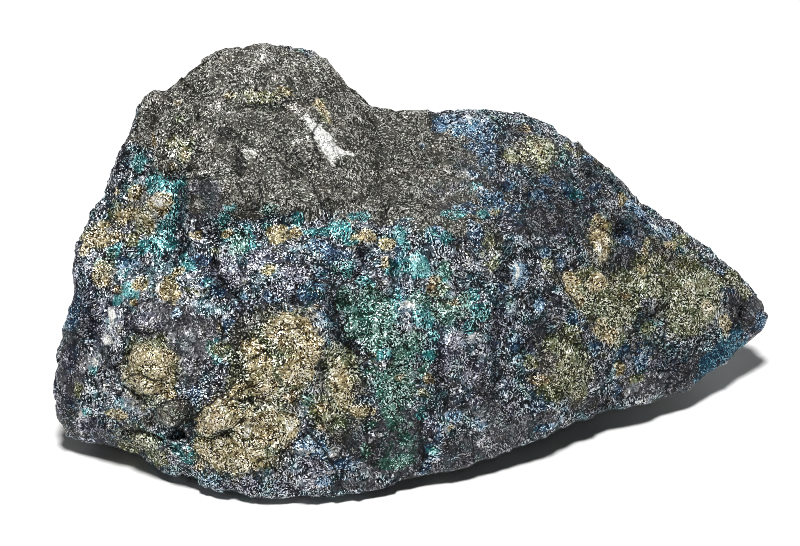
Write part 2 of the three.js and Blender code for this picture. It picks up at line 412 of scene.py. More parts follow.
FRONT: dict[Mineral, tuple[Patch, ...]] = {
    Mineral.ROCK: patches(
        (245, 75, 75, 38), (190, 115, 52, 34), (165, 105, 26, 22), (270, 130, 90, 56), (235, 170, 52, 32),
        (300, 185, 52, 30), (350, 165, 70, 50), (395, 150, 55, 44), (405, 190, 55, 26), (440, 182, 40, 34),
        (330, 110, 50, 40), (330, 85, 30, 40), (400, 125, 36, 20), (440, 150, 36, 24), (312, 214, 10, 9),
        (385, 216, 12, 8), (425, 212, 26, 8), (150, 125, 20, 22), (455, 205, 18, 12), (235, 200, 14, 8),
        (440, 222, 30, 18, 0.8), (468, 214, 18, 24, 0.9), (472, 185, 22, 30, 0.9), (345, 222, 10, 8, 0.8),
        (60, 420, 8, 24, 0.6), (245, 214, 16, 8, 0.9), (480, 160, 14, 12, 0.7), (500, 200, 14, 14, 0.5),
    ),
    # Smooth dark grey, partly painted shade along the bottom edges, the tip's underside and the left side,
    # which face away from the light
    Mineral.SLATE_AND_SHADE: patches(
        (72, 340, 10, 46), (66, 400, 9, 34), (78, 365, 12, 26), (74, 290, 5, 26), (160, 312, 32, 12),
        (170, 322, 22, 10), (350, 445, 22, 18), (385, 456, 30, 20), (410, 470, 26, 10),
        (490, 440, 50, 16, 1, 14), (520, 430, 30, 14, 1, 14), (450, 466, 34, 8, 1, 10), (488, 412, 12, 16),
        (540, 420, 22, 8, 1, 24), (650, 385, 44, 12, 1, 6), (685, 378, 20, 14), (700, 362, 16, 10),
        (738, 302, 13, 13), (752, 318, 14, 22), (622, 258, 16, 15), (540, 222, 36, 14), (200, 205, 16, 14),
        (345, 486, 40, 5), (112, 444, 22, 7), (585, 405, 26, 6, 1, 14), (690, 264, 26, 7, 0.7, -12),
        (560, 175, 14, 7, 0.8), (750, 326, 12, 15, 1.2, 30), (758, 312, 8, 12, 1.2),
        (742, 308, 12, 13, 1.2), (75, 320, 14, 40, 0.8), (100, 440, 30, 14, 0.8, -20),
        (72, 420, 14, 22, 0.8), (560, 215, 50, 24, 0.6), (470, 400, 30, 24, 0.6), (68, 380, 10, 60, 1.2),
        (190, 345, 30, 26, 0.9), (400, 442, 30, 32, 1.2), (340, 445, 14, 20, 0.9), (205, 195, 18, 18, 0.8),
        (665, 385, 44, 14, 1, 6), (540, 345, 12, 26, 0.8), (160, 322, 36, 20, 0.8), (190, 375, 14, 16, 0.7),
        (137, 330, 18, 8, 0.7), (102, 350, 5, 14, 0.7), (68, 370, 9, 60, 0.9), (165, 405, 14, 10, 0.7),
        (225, 365, 12, 10, 0.6), (740, 312, 10, 12, 1.2), (757, 325, 10, 16, 0.9), (758, 318, 10, 18, 1.3),
        (752, 335, 12, 10), (196, 330, 26, 14), (186, 360, 18, 22), (474, 168, 24, 44, 0.52),
        (452, 196, 30, 20, 0.5),
    ),
    Mineral.BLUE: patches(
        (445, 122, 11, 8), (458, 130, 6, 8, 1, -30), (476, 126, 10, 8), (488, 132, 7, 11), (472, 146, 7, 5),
        (547, 181, 9, 5, 1, -10), (565, 187, 9, 5, 1, -20), (594, 188, 6, 8, 1, -40), (576, 196, 9, 8),
        (513, 208, 7, 7), (508, 185, 6, 8, 0.8), (540, 197, 14, 7, 0.8), (630, 204, 6, 11, 1, -20),
        (640, 213, 9, 7, 1, -45), (650, 223, 9, 5, 1, -45), (627, 236, 10, 13, 0.8),
        (668, 232, 9, 4, 1, -45), (471, 225, 6, 7), (478, 234, 8, 11), (484, 244, 8, 7),
        (521, 277, 7, 13, 1.2, -12), (540, 304, 6, 9), (563, 265, 7, 10), (548, 251, 7, 5),
        (504, 288, 6, 6), (514, 345, 6, 8), (521, 340, 5, 6), (496, 347, 7, 5), (580, 312, 7, 13),
        (572, 322, 8, 8), (595, 350, 9, 7), (625, 353, 9, 6), (648, 350, 11, 9), (640, 363, 8, 7),
        (617, 390, 6, 8), (538, 404, 9, 8), (546, 428, 12, 5, 1, 20), (566, 406, 4, 9, 1, -20),
        (560, 418, 5, 6), (480, 425, 7, 7, 0.8), (455, 418, 10, 6), (315, 245, 8, 7), (328, 253, 9, 8, 1.2),
        (290, 257, 5, 4), (322, 273, 7, 5), (343, 254, 7, 4), (244, 296, 6, 5, 1.2), (203, 257, 9, 7),
        (228, 324, 6, 6), (176, 313, 5, 6), (272, 300, 11, 6, 1, -30), (286, 314, 13, 8, 1, -40),
        (302, 323, 13, 7, 1, -25), (320, 320, 12, 9), (310, 292, 14, 9, 0.8), (318, 450, 10, 12, 1.2),
        (300, 446, 8, 11), (345, 465, 14, 9), (325, 482, 8, 6), (255, 472, 7, 9), (214, 480, 13, 5),
        (437, 432, 6, 10, 1, 10), (432, 450, 10, 9), (427, 461, 6, 10), (421, 471, 5, 6),
        (100, 408, 7, 5, 0.7), (74, 405, 6, 6, 0.6), (111, 435, 6, 6, 0.7), (139, 420, 6, 4),
        (195, 422, 6, 7), (196, 394, 6, 9), (108, 380, 4, 4, 0.7), (411, 304, 13, 11), (420, 298, 7, 9),
        (404, 288, 8, 8, 0.8), (745, 336, 6, 5, 0.6), (750, 331, 8, 5, 0.6, 20), (761, 322, 6, 11),
        (722, 272, 5, 6), (732, 290, 6, 5, 0.8), (128, 166, 6, 6), (207, 282, 9, 7), (216, 290, 8, 6),
        (187, 265, 9, 9, 1, -30), (296, 219, 6, 10, 1, -25), (315, 232, 18, 4), (95, 372, 6, 6, 0.7),
        (118, 401, 5, 5, 0.7), (436, 236, 10, 12), (400, 256, 8, 10), (398, 240, 7, 8), (249, 233, 7, 12),
        (705, 365, 12, 6, 1, 38), (590, 158, 7, 5), (480, 312, 8, 8, 0.8), (130, 262, 12, 8, 0.7),
        (300, 340, 4, 4), (328, 345, 5, 12, 0.8), (145, 246, 8, 7, 0.8), (445, 122, 16, 8, 1.2, 30),
        (480, 130, 16, 12, 1.2, 30), (465, 126, 12, 10, 1.2), (424, 145, 4, 4, 0.8),
        (484, 170, 16, 40, 0.55), (492, 200, 14, 16, 0.8), (470, 208, 14, 8, 0.7), (488, 150, 10, 14, 0.8),
    ),
    Mineral.VIOLET: patches(
        (86, 292, 8, 36), (105, 308, 14, 10), (95, 330, 12, 20), (140, 322, 26, 12, 0.8),
        (225, 272, 20, 14), (262, 258, 18, 10), (295, 275, 14, 12), (280, 288, 12, 8), (250, 306, 18, 8),
        (360, 265, 9, 12), (70, 360, 10, 16), (92, 426, 20, 9), (92, 440, 16, 5), (240, 485, 24, 9),
        (310, 470, 14, 14), (285, 488, 14, 6), (450, 345, 16, 14), (442, 362, 9, 12), (490, 350, 12, 9),
        (503, 320, 14, 16), (512, 220, 12, 11), (590, 212, 8, 8), (505, 385, 8, 7), (510, 408, 6, 9),
        (475, 372, 16, 14), (470, 398, 16, 8), (605, 268, 7, 6), (160, 338, 8, 5, 0.7),
        (238, 322, 6, 6, 0.7), (560, 232, 12, 6, 0.8), (666, 365, 20, 8, 0.7), (530, 345, 8, 10, 0.8),
        (340, 292, 8, 8, 0.8), (430, 430, 8, 18, 0.7), (755, 334, 9, 8, 0.6, 20),
    ),
    Mineral.TEAL: patches(
        (138, 163, 8, 10, 1.2), (155, 180, 13, 9, 1.2, 15), (163, 185, 8, 7), (150, 189, 8, 6),
        (173, 187, 5, 9), (181, 183, 7, 7, 0.7), (171, 214, 6, 13, 1, -8), (168, 226, 8, 9, 1.2),
        (160, 237, 9, 9), (157, 247, 8, 9), (143, 246, 8, 8, 0.8), (113, 252, 12, 7), (127, 286, 7, 8),
        (137, 295, 6, 5), (118, 300, 6, 6), (126, 272, 7, 6, 0.8), (187, 266, 9, 8, 1, -30),
        (182, 256, 5, 5), (207, 283, 8, 6, 0.7), (225, 219, 8, 7), (231, 208, 8, 6, 0.8),
        (247, 240, 10, 13), (266, 226, 5, 6), (297, 221, 6, 9, 1, -25), (318, 232, 18, 4),
        (340, 229, 10, 8, 1.2), (350, 237, 9, 7, 1.2), (360, 217, 12, 5), (348, 268, 8, 10),
        (322, 274, 6, 4, 0.7), (400, 236, 7, 9, 1.2), (406, 246, 6, 7), (402, 260, 8, 9, 0.7),
        (418, 265, 12, 12, 1.3), (426, 271, 7, 7), (430, 236, 8, 9, 0.7), (446, 238, 8, 9, 0.7),
        (366, 284, 11, 8), (398, 300, 6, 14, 0.8), (428, 322, 9, 11), (420, 317, 8, 12), (434, 336, 8, 7),
        (428, 357, 6, 8, 1.2), (472, 295, 8, 9), (480, 312, 10, 9), (470, 326, 8, 6), (383, 352, 9, 7),
        (218, 341, 5, 6), (217, 354, 5, 10), (160, 440, 8, 7), (190, 456, 9, 8), (177, 450, 8, 6),
        (117, 400, 5, 5, 0.7), (88, 412, 8, 6), (95, 370, 7, 7, 0.7), (424, 414, 6, 8), (657, 322, 7, 7),
        (722, 348, 11, 8, 1.2, 40), (706, 363, 12, 6, 1, 38), (555, 157, 12, 12, 0.7),
        (576, 193, 9, 8, 0.7), (328, 345, 5, 14, 0.8), (392, 270, 9, 9, 0.8), (438, 275, 10, 10, 0.7),
        (476, 184, 8, 5, 0.7), (432, 450, 8, 8, 0.7), (232, 234, 14, 8, 0.8), (172, 208, 6, 24),
        (165, 240, 10, 8), (178, 184, 8, 8), (452, 214, 16, 6, 0.7), (474, 190, 6, 5, 0.7),
        (484, 214, 8, 6, 0.8),
    ),
    Mineral.GREEN: patches(
        (355, 322, 10, 18), (368, 312, 7, 13, 1.2), (372, 330, 12, 14), (386, 336, 11, 11),
        (352, 310, 8, 12), (404, 350, 12, 14), (397, 362, 6, 10), (375, 346, 9, 8), (450, 312, 14, 10),
        (440, 289, 7, 8), (465, 302, 8, 10), (445, 270, 8, 8), (405, 388, 10, 9, 1.2), (388, 412, 8, 8),
        (371, 292, 9, 7), (372, 425, 6, 5), (365, 450, 6, 8), (395, 463, 20, 9), (405, 437, 8, 12, 0.7),
        (237, 243, 12, 12), (112, 256, 8, 6), (100, 264, 7, 6, 0.8), (308, 400, 7, 6, 0.8),
        (210, 346, 5, 7, 0.8), (424, 369, 5, 9), (375, 375, 9, 12, 0.8), (245, 352, 5, 6, 0.8),
        (550, 162, 10, 7, 0.7), (335, 268, 5, 5, 0.8), (495, 262, 6, 8, 0.6), (270, 210, 12, 7, 0.6),
        (412, 342, 12, 12), (393, 402, 13, 11), (385, 385, 10, 18), (345, 300, 12, 14, 0.8),
        (400, 380, 20, 30, 0.8), (375, 320, 24, 30), (420, 300, 16, 12, 0.7), (400, 440, 26, 26, 0.55),
        (450, 310, 22, 14, 0.8),
    ),
    Mineral.BROWN: patches(
        (198, 205, 12, 10), (172, 411, 20, 17), (150, 420, 14, 8, 0.8), (565, 370, 32, 40),
        (575, 400, 12, 6), (664, 247, 24, 9, 1, -32), (560, 278, 12, 10), (143, 212, 20, 24),
        (100, 238, 18, 16, 1, -40), (600, 290, 36, 42), (688, 295, 40, 46), (650, 330, 50, 26, 0.6),
        (260, 340, 34, 30), (340, 395, 28, 50), (260, 400, 40, 40), (290, 350, 38, 46), (148, 372, 34, 38),
        (240, 440, 56, 40, 1, 20), (170, 160, 20, 14), (290, 320, 30, 16), (135, 440, 30, 18, 1, -16),
        (538, 152, 28, 24), (600, 240, 18, 30), (285, 100, 44, 9, 0.8), (735, 280, 14, 16),
        (495, 245, 12, 24, 0.8), (104, 275, 14, 14, 0.8), (168, 288, 16, 14, 0.8), (410, 170, 34, 16, 0.42),
        (360, 120, 14, 12, 0.4), (300, 165, 20, 14, 0.36), (210, 120, 30, 16, 0.36),
        (316, 345, 14, 20, 0.7), (222, 348, 12, 9, 0.7), (300, 452, 12, 6, 0.6), (440, 172, 34, 26, 0.5),
        (478, 186, 10, 12, 0.6),
    ),
    Mineral.BRASS: patches(
        (540, 150, 15, 18, 1.2), (515, 157, 14, 9), (543, 168, 10, 6), (568, 146, 8, 5, 1, -20),
        (579, 153, 6, 4), (690, 288, 28, 36, 1.2), (705, 302, 16, 24, 1.1), (655, 287, 24, 15),
        (636, 282, 22, 16), (615, 305, 28, 26), (686, 322, 28, 18), (645, 265, 16, 14), (590, 290, 22, 26),
        (624, 280, 16, 12), (735, 278, 10, 11, 1, -40), (744, 292, 8, 9, 0.8, -40), (680, 240, 12, 8),
        (548, 265, 7, 9), (648, 328, 10, 8), (637, 378, 7, 5), (553, 390, 14, 14), (531, 362, 9, 9),
        (572, 370, 20, 30), (579, 391, 10, 9), (560, 345, 22, 10), (569, 330, 12, 8),
        (143, 443, 17, 13, 1, -16), (128, 449, 13, 9, 1, -30), (156, 458, 14, 10, 1, -20), (78, 390, 5, 8),
        (422, 394, 7, 4), (490, 250, 11, 20, 0.8), (262, 95, 28, 7), (321, 110, 6, 15, 1, 20),
        (179, 118, 5, 5), (185, 150, 10, 14), (172, 142, 7, 9), (340, 375, 18, 34), (330, 412, 22, 18),
        (275, 365, 34, 50), (245, 378, 20, 24), (258, 430, 34, 28), (240, 455, 42, 18),
        (148, 368, 29, 33, 1.2), (225, 352, 14, 12, 0.7), (145, 221, 14, 17), (150, 402, 14, 8, 0.8),
        (132, 240, 9, 9), (92, 234, 12, 12), (712, 280, 14, 12), (365, 412, 10, 8), (605, 232, 12, 14),
        (197, 290, 12, 7, 0.7), (214, 248, 7, 6), (618, 337, 14, 11), (660, 262, 14, 10),
        (205, 440, 12, 12), (172, 411, 10, 7, 0.55), (104, 268, 12, 12, 0.8), (120, 212, 14, 12, 0.8),
        (440, 285, 10, 10, 0.6),
    ),
    Mineral.GOLD: patches(
        (148, 358, 26, 13), (148, 378, 26, 18, 1.1), (133, 192, 9, 9), (115, 192, 6, 5),
        (160, 203, 13, 10, 1.2), (120, 217, 9, 8), (134, 214, 7, 8), (98, 238, 12, 10), (115, 237, 9, 7),
        (195, 236, 8, 5), (227, 234, 7, 4), (277, 235, 11, 10, 1.2), (295, 234, 6, 6), (268, 270, 8, 7),
        (364, 236, 12, 8), (387, 244, 9, 7), (383, 263, 5, 6), (101, 276, 10, 11), (139, 284, 8, 7),
        (170, 289, 10, 13, 1.2), (178, 271, 6, 5), (251, 350, 12, 10), (290, 333, 22, 18, 1.1),
        (275, 330, 14, 12), (308, 345, 14, 20), (262, 366, 13, 12, 1.2), (262, 387, 15, 14, 1.2),
        (298, 372, 14, 18), (338, 378, 9, 18), (345, 396, 9, 14), (240, 392, 9, 10), (358, 412, 7, 6),
        (372, 412, 6, 5), (216, 416, 25, 15, 1.2, 30), (206, 425, 10, 12), (270, 428, 22, 18),
        (288, 428, 11, 15), (232, 455, 26, 18), (200, 447, 9, 7), (206, 456, 7, 6), (198, 467, 6, 5),
        (258, 458, 16, 10), (168, 393, 10, 5), (117, 415, 11, 7), (450, 428, 4, 5), (600, 240, 11, 24, 1.1),
        (622, 200, 6, 9), (572, 284, 7, 14), (597, 283, 11, 9), (645, 268, 8, 7, 0.8), (725, 323, 7, 10),
        (601, 328, 10, 11), (609, 336, 9, 9), (619, 368, 5, 9), (706, 308, 8, 10, 0.7),
        (690, 286, 9, 8, 0.6), (672, 245, 9, 5), (540, 152, 8, 9, 0.6), (185, 152, 6, 8, 0.7),
        (245, 425, 14, 18), (320, 408, 12, 8, 0.8), (148, 222, 10, 11, 0.8), (104, 224, 7, 6, 0.8),
        (578, 300, 7, 7), (85, 250, 6, 6, 0.8), (317, 102, 5, 5), (321, 108, 5, 6), (328, 117, 4, 8, 1, 15),
        (288, 92, 6, 5), (230, 95, 5, 4, 0.7), (141, 353, 10, 7, 0.9), (246, 392, 9, 4, 0.8, -30),
        (262, 440, 14, 6, 0.7), (286, 372, 8, 8, 0.7),
    ),
    Mineral.COPPER: patches(
        (285, 91, 9, 5, 0.9), (117, 289, 6, 6), (524, 128, 8, 5, 0.7), (436, 280, 7, 7, 0.7),
        (430, 288, 6, 5, 0.8), (450, 301, 11, 5, 0.7), (429, 380, 6, 7), (400, 378, 10, 4, 0.8),
        (370, 357, 6, 6, 0.6), (495, 212, 7, 5, 0.8), (497, 144, 10, 4, 0.7), (592, 226, 6, 4),
        (648, 246, 5, 10, 0.8), (627, 296, 6, 4), (726, 330, 8, 4, 1, 30), (540, 379, 12, 6),
        (134, 300, 5, 4), (218, 325, 4, 7), (290, 396, 8, 6), (322, 428, 6, 5), (283, 447, 8, 5),
        (172, 166, 5, 4), (153, 138, 5, 9, 0.8), (212, 420, 9, 9, 0.7), (285, 345, 8, 7, 0.7),
        (384, 264, 4, 4), (177, 103, 5, 5, 0.7), (315, 309, 8, 5, 0.7), (152, 290, 5, 4, 0.7),
        (600, 326, 5, 4), (216, 418, 19, 10, 0.7, 32), (290, 335, 14, 8, 0.5), (150, 375, 16, 16, 0.42),
        (600, 248, 5, 8, 0.5),
    ),
    # Dark tarnish, and painted shade in gullies, cracks, under ledges and on slopes turned from the light
    Mineral.DARK_AND_SHADE: patches(
        (168, 177, 14, 2), (182, 196, 7, 14, 0.8), (180, 216, 7, 14), (183, 246, 9, 12), (194, 256, 8, 8),
        (237, 155, 3, 14), (230, 132, 12, 3, 1, -12), (243, 165, 3, 8), (125, 155, 5, 6), (122, 185, 6, 5),
        (137, 250, 7, 8), (212, 270, 5, 14), (221, 286, 7, 15, 1, 30), (238, 306, 7, 9), (237, 332, 6, 14),
        (204, 356, 7, 9), (320, 236, 9, 10, 0.7), (332, 251, 7, 8, 0.7), (328, 290, 8, 12, 0.8),
        (352, 274, 5, 8, 1.2, 30), (338, 300, 8, 14), (330, 316, 6, 12), (340, 331, 7, 9, 1.2),
        (353, 346, 9, 9), (300, 300, 14, 7, 0.8), (360, 254, 7, 6), (384, 209, 3, 13), (378, 285, 13, 7),
        (389, 286, 7, 10), (393, 270, 7, 9), (460, 240, 12, 12, 0.7), (540, 222, 32, 14),
        (513, 262, 8, 4, 1.3), (505, 250, 8, 8), (505, 275, 7, 12), (535, 295, 5, 11), (500, 300, 7, 14),
        (545, 320, 8, 13), (495, 330, 7, 10), (441, 345, 8, 5), (436, 356, 3, 10), (520, 351, 9, 8, 0.7),
        (378, 342, 3, 6), (540, 186, 20, 11, 0.8), (560, 174, 14, 8), (505, 190, 8, 10, 0.7),
        (500, 150, 5, 12, 0.8), (515, 130, 12, 7, 0.7), (582, 150, 10, 6, 0.7, -30),
        (592, 172, 16, 12, 1, -40), (601, 162, 4, 4), (616, 186, 12, 8, 1, -45), (630, 224, 18, 12),
        (623, 258, 16, 15), (640, 240, 8, 5), (690, 265, 24, 6, 0.7, -14), (645, 311, 9, 7),
        (738, 303, 11, 11), (735, 335, 6, 9), (755, 326, 8, 12, 0.7), (650, 350, 30, 10, 0.7),
        (680, 362, 28, 8, 0.8), (668, 380, 30, 10, 0.7), (605, 375, 8, 9), (621, 379, 9, 7, 1, -40),
        (555, 300, 9, 8), (660, 368, 20, 3), (93, 352, 5, 4, 1.2), (88, 326, 6, 18, 0.8),
        (138, 331, 9, 3, 1.2), (125, 325, 5, 8), (110, 304, 12, 4), (118, 365, 5, 10),
        (125, 395, 12, 3, 1, -20), (208, 403, 6, 4), (95, 426, 18, 6), (76, 402, 5, 3), (100, 434, 18, 8),
        (178, 436, 9, 6, 1.3), (181, 446, 4, 4), (188, 427, 8, 8), (131, 435, 5, 3), (160, 470, 7, 4),
        (307, 430, 6, 5), (300, 412, 14, 5, 0.7), (330, 440, 14, 7, 0.8), (345, 452, 14, 14, 0.7),
        (400, 430, 14, 12, 0.7), (385, 452, 16, 16, 0.7), (415, 455, 8, 18), (390, 360, 5, 10, 0.8),
        (440, 384, 7, 12), (446, 396, 9, 7, 1.2), (497, 372, 6, 12), (450, 445, 5, 8, 0.8),
        (490, 396, 12, 5, 0.7), (470, 250, 8, 6, 0.7), (150, 276, 5, 8, 0.7), (262, 296, 9, 5, 0.7),
        (276, 306, 12, 4, 0.8, -20), (365, 365, 5, 8, 0.6), (580, 345, 8, 10, 0.7), (572, 230, 14, 10, 0.7),
        (565, 200, 64, 32, 0.5), (630, 225, 30, 20, 0.5), (655, 365, 60, 20, 0.45), (80, 330, 12, 60, 0.4),
        (285, 150, 18, 14, 0.45), (330, 195, 14, 20, 0.4), (230, 138, 14, 5, 0.6, -20),
        (255, 190, 12, 12, 0.4), (545, 340, 14, 30, 0.6), (380, 160, 14, 30, 0.35, 20),
        (238, 160, 4, 13, 0.8), (248, 335, 8, 8, 0.7), (268, 352, 10, 6, 0.6), (232, 372, 8, 8, 0.7),
        (300, 400, 12, 8, 0.6), (322, 365, 6, 14, 0.6), (318, 420, 10, 8, 0.7), (240, 405, 6, 10, 0.5),
        (262, 412, 10, 4, 0.7), (625, 262, 18, 12, 0.7), (645, 320, 12, 14, 0.7), (610, 272, 10, 8, 0.6),
        (560, 395, 14, 6, 0.6), (135, 262, 14, 9, 0.7, -30), (92, 300, 10, 8, 0.5), (205, 262, 10, 8, 0.6),
        (448, 350, 14, 20, 0.5), (193, 432, 6, 6, 0.8), (240, 402, 12, 3, 0.8, 32),
        (205, 440, 14, 3, 0.7, 20), (84, 345, 7, 30, 0.6), (738, 304, 11, 11), (128, 345, 5, 12, 0.6),
        (122, 395, 10, 4, 0.6, -30), (70, 400, 7, 40, 0.5), (428, 200, 34, 9, 0.42), (385, 198, 7, 20, 0.5),
        (323, 195, 4, 22, 0.55), (400, 145, 26, 6, 0.4, 30), (265, 125, 30, 10, 0.42),
        (215, 160, 10, 24, 0.42, 20), (160, 120, 12, 20, 0.4, 30), (352, 190, 5, 16, 0.45),
        (739, 341, 2.5, 8, 0.9, 20), (733, 352, 3, 6, 0.6, 20), (741, 318, 10, 10, 0.8),
    ),
    # Painted glints, and broad faint patches of painted light where faces turn from the lamp
    Mineral.PAINTED_GLINTS: patches(
        (172, 148, 8, 9, 0.8), (184, 142, 8, 4, 0.8), (212, 105, 6, 4, 0.8), (143, 178, 6, 4),
        (157, 175, 6, 4), (133, 185, 7, 6), (165, 192, 8, 7), (163, 206, 9, 9, 1.2),
        (150, 215, 10, 12, 0.8), (155, 229, 11, 10, 0.9), (120, 222, 5, 8, 0.7), (86, 232, 5, 4, 0.8),
        (118, 236, 10, 5, 0.8), (188, 224, 5, 3, 1.2), (194, 236, 5, 4, 1.2), (92, 262, 8, 12, 0.7),
        (98, 282, 5, 9, 0.7), (140, 281, 10, 8, 0.7), (166, 276, 12, 12, 0.7), (190, 278, 9, 9, 0.7),
        (172, 293, 7, 6, 0.9), (198, 205, 5, 5, 0.8), (275, 236, 6, 8, 1.3), (296, 235, 5, 7),
        (297, 247, 8, 4, 0.9), (222, 250, 5, 10, 0.7), (235, 252, 9, 14, 0.7), (233, 266, 6, 5),
        (225, 271, 5, 6), (258, 265, 16, 6, 0.8), (270, 270, 9, 5, 0.9), (236, 280, 13, 4),
        (248, 290, 7, 4, 0.8), (286, 284, 4, 4), (295, 270, 9, 5), (304, 276, 6, 4, 0.8),
        (205, 303, 14, 4, 1.2), (216, 308, 9, 4, 1.2, -30), (195, 290, 9, 7, 0.7), (262, 318, 20, 10, 0.6),
        (250, 328, 12, 5, 0.7), (295, 335, 14, 10, 0.7), (300, 350, 14, 9, 0.7), (365, 230, 9, 14, 0.8),
        (368, 245, 9, 5), (345, 262, 3, 5), (375, 250, 4, 4), (370, 295, 10, 3), (355, 318, 5, 10, 0.8),
        (365, 342, 6, 5, 1, -40), (387, 244, 6, 5), (397, 233, 3, 7, 1.2, 20), (407, 245, 4, 3, 1.2),
        (420, 262, 9, 9, 0.9), (432, 268, 12, 7, 0.7), (453, 268, 6, 3), (475, 265, 10, 4, 0.7),
        (493, 255, 8, 6, 0.7), (430, 290, 4, 4, 1.1), (406, 305, 10, 9), (428, 315, 3, 9, 1.1, 40),
        (455, 300, 12, 7, 0.6), (470, 301, 12, 8, 0.6), (385, 328, 16, 9, 0.6), (408, 330, 4, 12, 0.9, 30),
        (480, 337, 9, 4, 1.2), (460, 346, 12, 6, 0.6), (402, 353, 6, 5), (493, 212, 4, 7, 1.1, -45),
        (519, 270, 5, 8, 1.3), (523, 284, 5, 7, 1.3, -10), (527, 245, 4, 7, 0.8), (545, 262, 8, 6, 0.8),
        (510, 308, 6, 8, 0.8), (517, 325, 6, 5, 0.7), (538, 305, 3, 8), (445, 118, 3, 7, 1, 20),
        (453, 126, 3, 7, 1, 30), (467, 118, 3, 9, 1.2), (471, 131, 5, 3, 1.2, -40), (480, 122, 6, 5, 0.8),
        (508, 160, 4, 3), (513, 152, 12, 9, 0.6), (540, 155, 14, 14, 0.7), (470, 175, 7, 3, 1, -30),
        (455, 172, 3, 2), (480, 190, 9, 6, 0.6), (612, 204, 9, 5, 0.9), (630, 203, 6, 3),
        (602, 221, 3, 6, 1, -30), (592, 228, 7, 4, 1, 30), (603, 243, 5, 6), (597, 257, 9, 8, 0.8),
        (550, 254, 7, 4, 0.8), (643, 213, 3, 5, 1, 40), (655, 225, 3, 6, 0.9, 45),
        (667, 232, 9, 2, 0.9, -45), (700, 292, 16, 16, 0.7), (690, 284, 8, 7, 0.9), (702, 312, 6, 4, 1.1),
        (655, 305, 5, 3), (668, 337, 3, 4), (640, 280, 18, 7, 0.6), (720, 315, 6, 9, 0.7), (728, 325, 4, 4),
        (608, 332, 7, 8, 0.9), (572, 328, 7, 4, 0.9), (625, 330, 8, 7, 0.6), (551, 345, 8, 5, 0.8),
        (576, 362, 8, 10, 0.6), (543, 382, 4, 6), (530, 362, 8, 6, 0.6), (585, 390, 3, 5), (612, 388, 3, 3),
        (568, 410, 10, 4, 0.8), (556, 415, 3, 6, 1, -40), (113, 317, 9, 9, 1.3), (107, 328, 6, 8, 1.2),
        (112, 340, 9, 10), (93, 366, 9, 7, 1.3), (84, 369, 5, 4), (157, 356, 9, 6, 0.9),
        (142, 368, 16, 8, 0.55), (82, 388, 10, 4, 0.9), (105, 393, 8, 4, 1.1, -30), (125, 397, 5, 3),
        (162, 395, 10, 4), (137, 408, 18, 9, 0.6), (80, 417, 4, 7, 1.2, -30), (172, 420, 5, 6, 0.6),
        (145, 446, 18, 8, 0.55), (216, 415, 16, 12, 0.65), (245, 425, 5, 14, 0.9), (250, 440, 9, 7, 0.8),
        (272, 432, 11, 13, 0.9), (300, 448, 9, 7, 0.8), (322, 449, 4, 3, 1.2), (110, 443, 6, 3, 0.9),
        (245, 388, 9, 6, 0.9), (262, 378, 8, 9, 0.6), (312, 392, 5, 4, 1.2), (305, 385, 7, 6, 0.8),
        (255, 408, 4, 7, 1.1, -20), (358, 415, 4, 4), (390, 408, 9, 6, 0.8), (412, 376, 8, 11, 0.6),
        (425, 416, 5, 6, 0.8), (335, 472, 12, 6, 0.7), (318, 485, 8, 4), (270, 470, 5, 3), (448, 430, 5, 6),
        (435, 455, 6, 9, 1, -20), (465, 418, 6, 4, 0.8), (468, 372, 7, 7, 0.7), (500, 385, 3, 4, 1.1),
        (480, 353, 10, 7, 0.6), (378, 477, 3, 3, 0.8), (230, 470, 8, 6, 0.6), (190, 448, 8, 3, 0.8, 20),
        (285, 452, 8, 6, 0.7), (310, 465, 10, 8, 0.55), (240, 97, 10, 4, 0.7), (300, 108, 12, 5, 0.6),
        (345, 175, 12, 12, 0.55), (210, 213, 4, 5, 0.7), (262, 358, 9, 5, 0.8), (230, 378, 6, 8, 0.7),
        (585, 282, 12, 6, 0.6), (150, 215, 34, 40, 0.45), (150, 282, 50, 20, 0.5), (280, 410, 60, 66, 0.48),
        (430, 290, 64, 44, 0.45), (695, 300, 38, 40, 0.45), (150, 370, 40, 44, 0.45),
        (300, 340, 34, 30, 0.45), (300, 118, 10, 5, 0.8, -30), (348, 152, 12, 5, 0.7),
        (252, 152, 9, 6, 0.6, -40), (215, 105, 7, 5, 0.7), (255, 96, 22, 5, 0.7), (207, 174, 10, 3, 0.8),
        (440, 185, 24, 16, 0.4), (280, 60, 60, 14, 0.4), (465, 337, 18, 8, 1.2), (410, 304, 14, 11, 1.1),
        (513, 306, 6, 6, 0.9), (225, 145, 16, 10, 0.35), (88, 430, 14, 8, 0.6), (92, 410, 10, 10, 0.6),
        (95, 350, 8, 12, 0.5), (190, 345, 16, 12, 0.4), (205, 355, 8, 6, 0.6), (100, 300, 8, 14, 0.6),
        (250, 275, 30, 10, 0.4), (455, 380, 20, 24, 0.35), (120, 250, 45, 34, 0.37),
        (150, 330, 50, 26, 0.36), (110, 400, 40, 50, 0.36), (200, 440, 30, 14, 0.4),
        (330, 470, 110, 18, 0.38), (480, 430, 60, 22, 0.36, -14), (620, 390, 70, 20, 0.38, -14),
        (113, 325, 9, 20, 1.4, -8), (93, 362, 9, 11, 1.3, -20), (84, 412, 7, 10, 1.2, -20),
        (106, 392, 9, 5, 1.2, -30), (92, 392, 8, 8, 0.8), (120, 402, 9, 5), (455, 122, 10, 2, 1.1, 35),
        (466, 133, 9, 2, 1.1, 35), (484, 127, 3, 9, 1.2), (486, 135, 8, 2.5, 1.2, 35),
        (440, 170, 22, 8, 0.38), (300, 140, 12, 24, 0.4), (370, 165, 14, 10, 0.38), (255, 75, 50, 12, 0.37),
        (640, 370, 50, 26, 0.47, -14),
    ),
    # Painted sheen on smooth facets, and broad faint patches of painted light
    Mineral.PAINTED_SHEEN: patches(
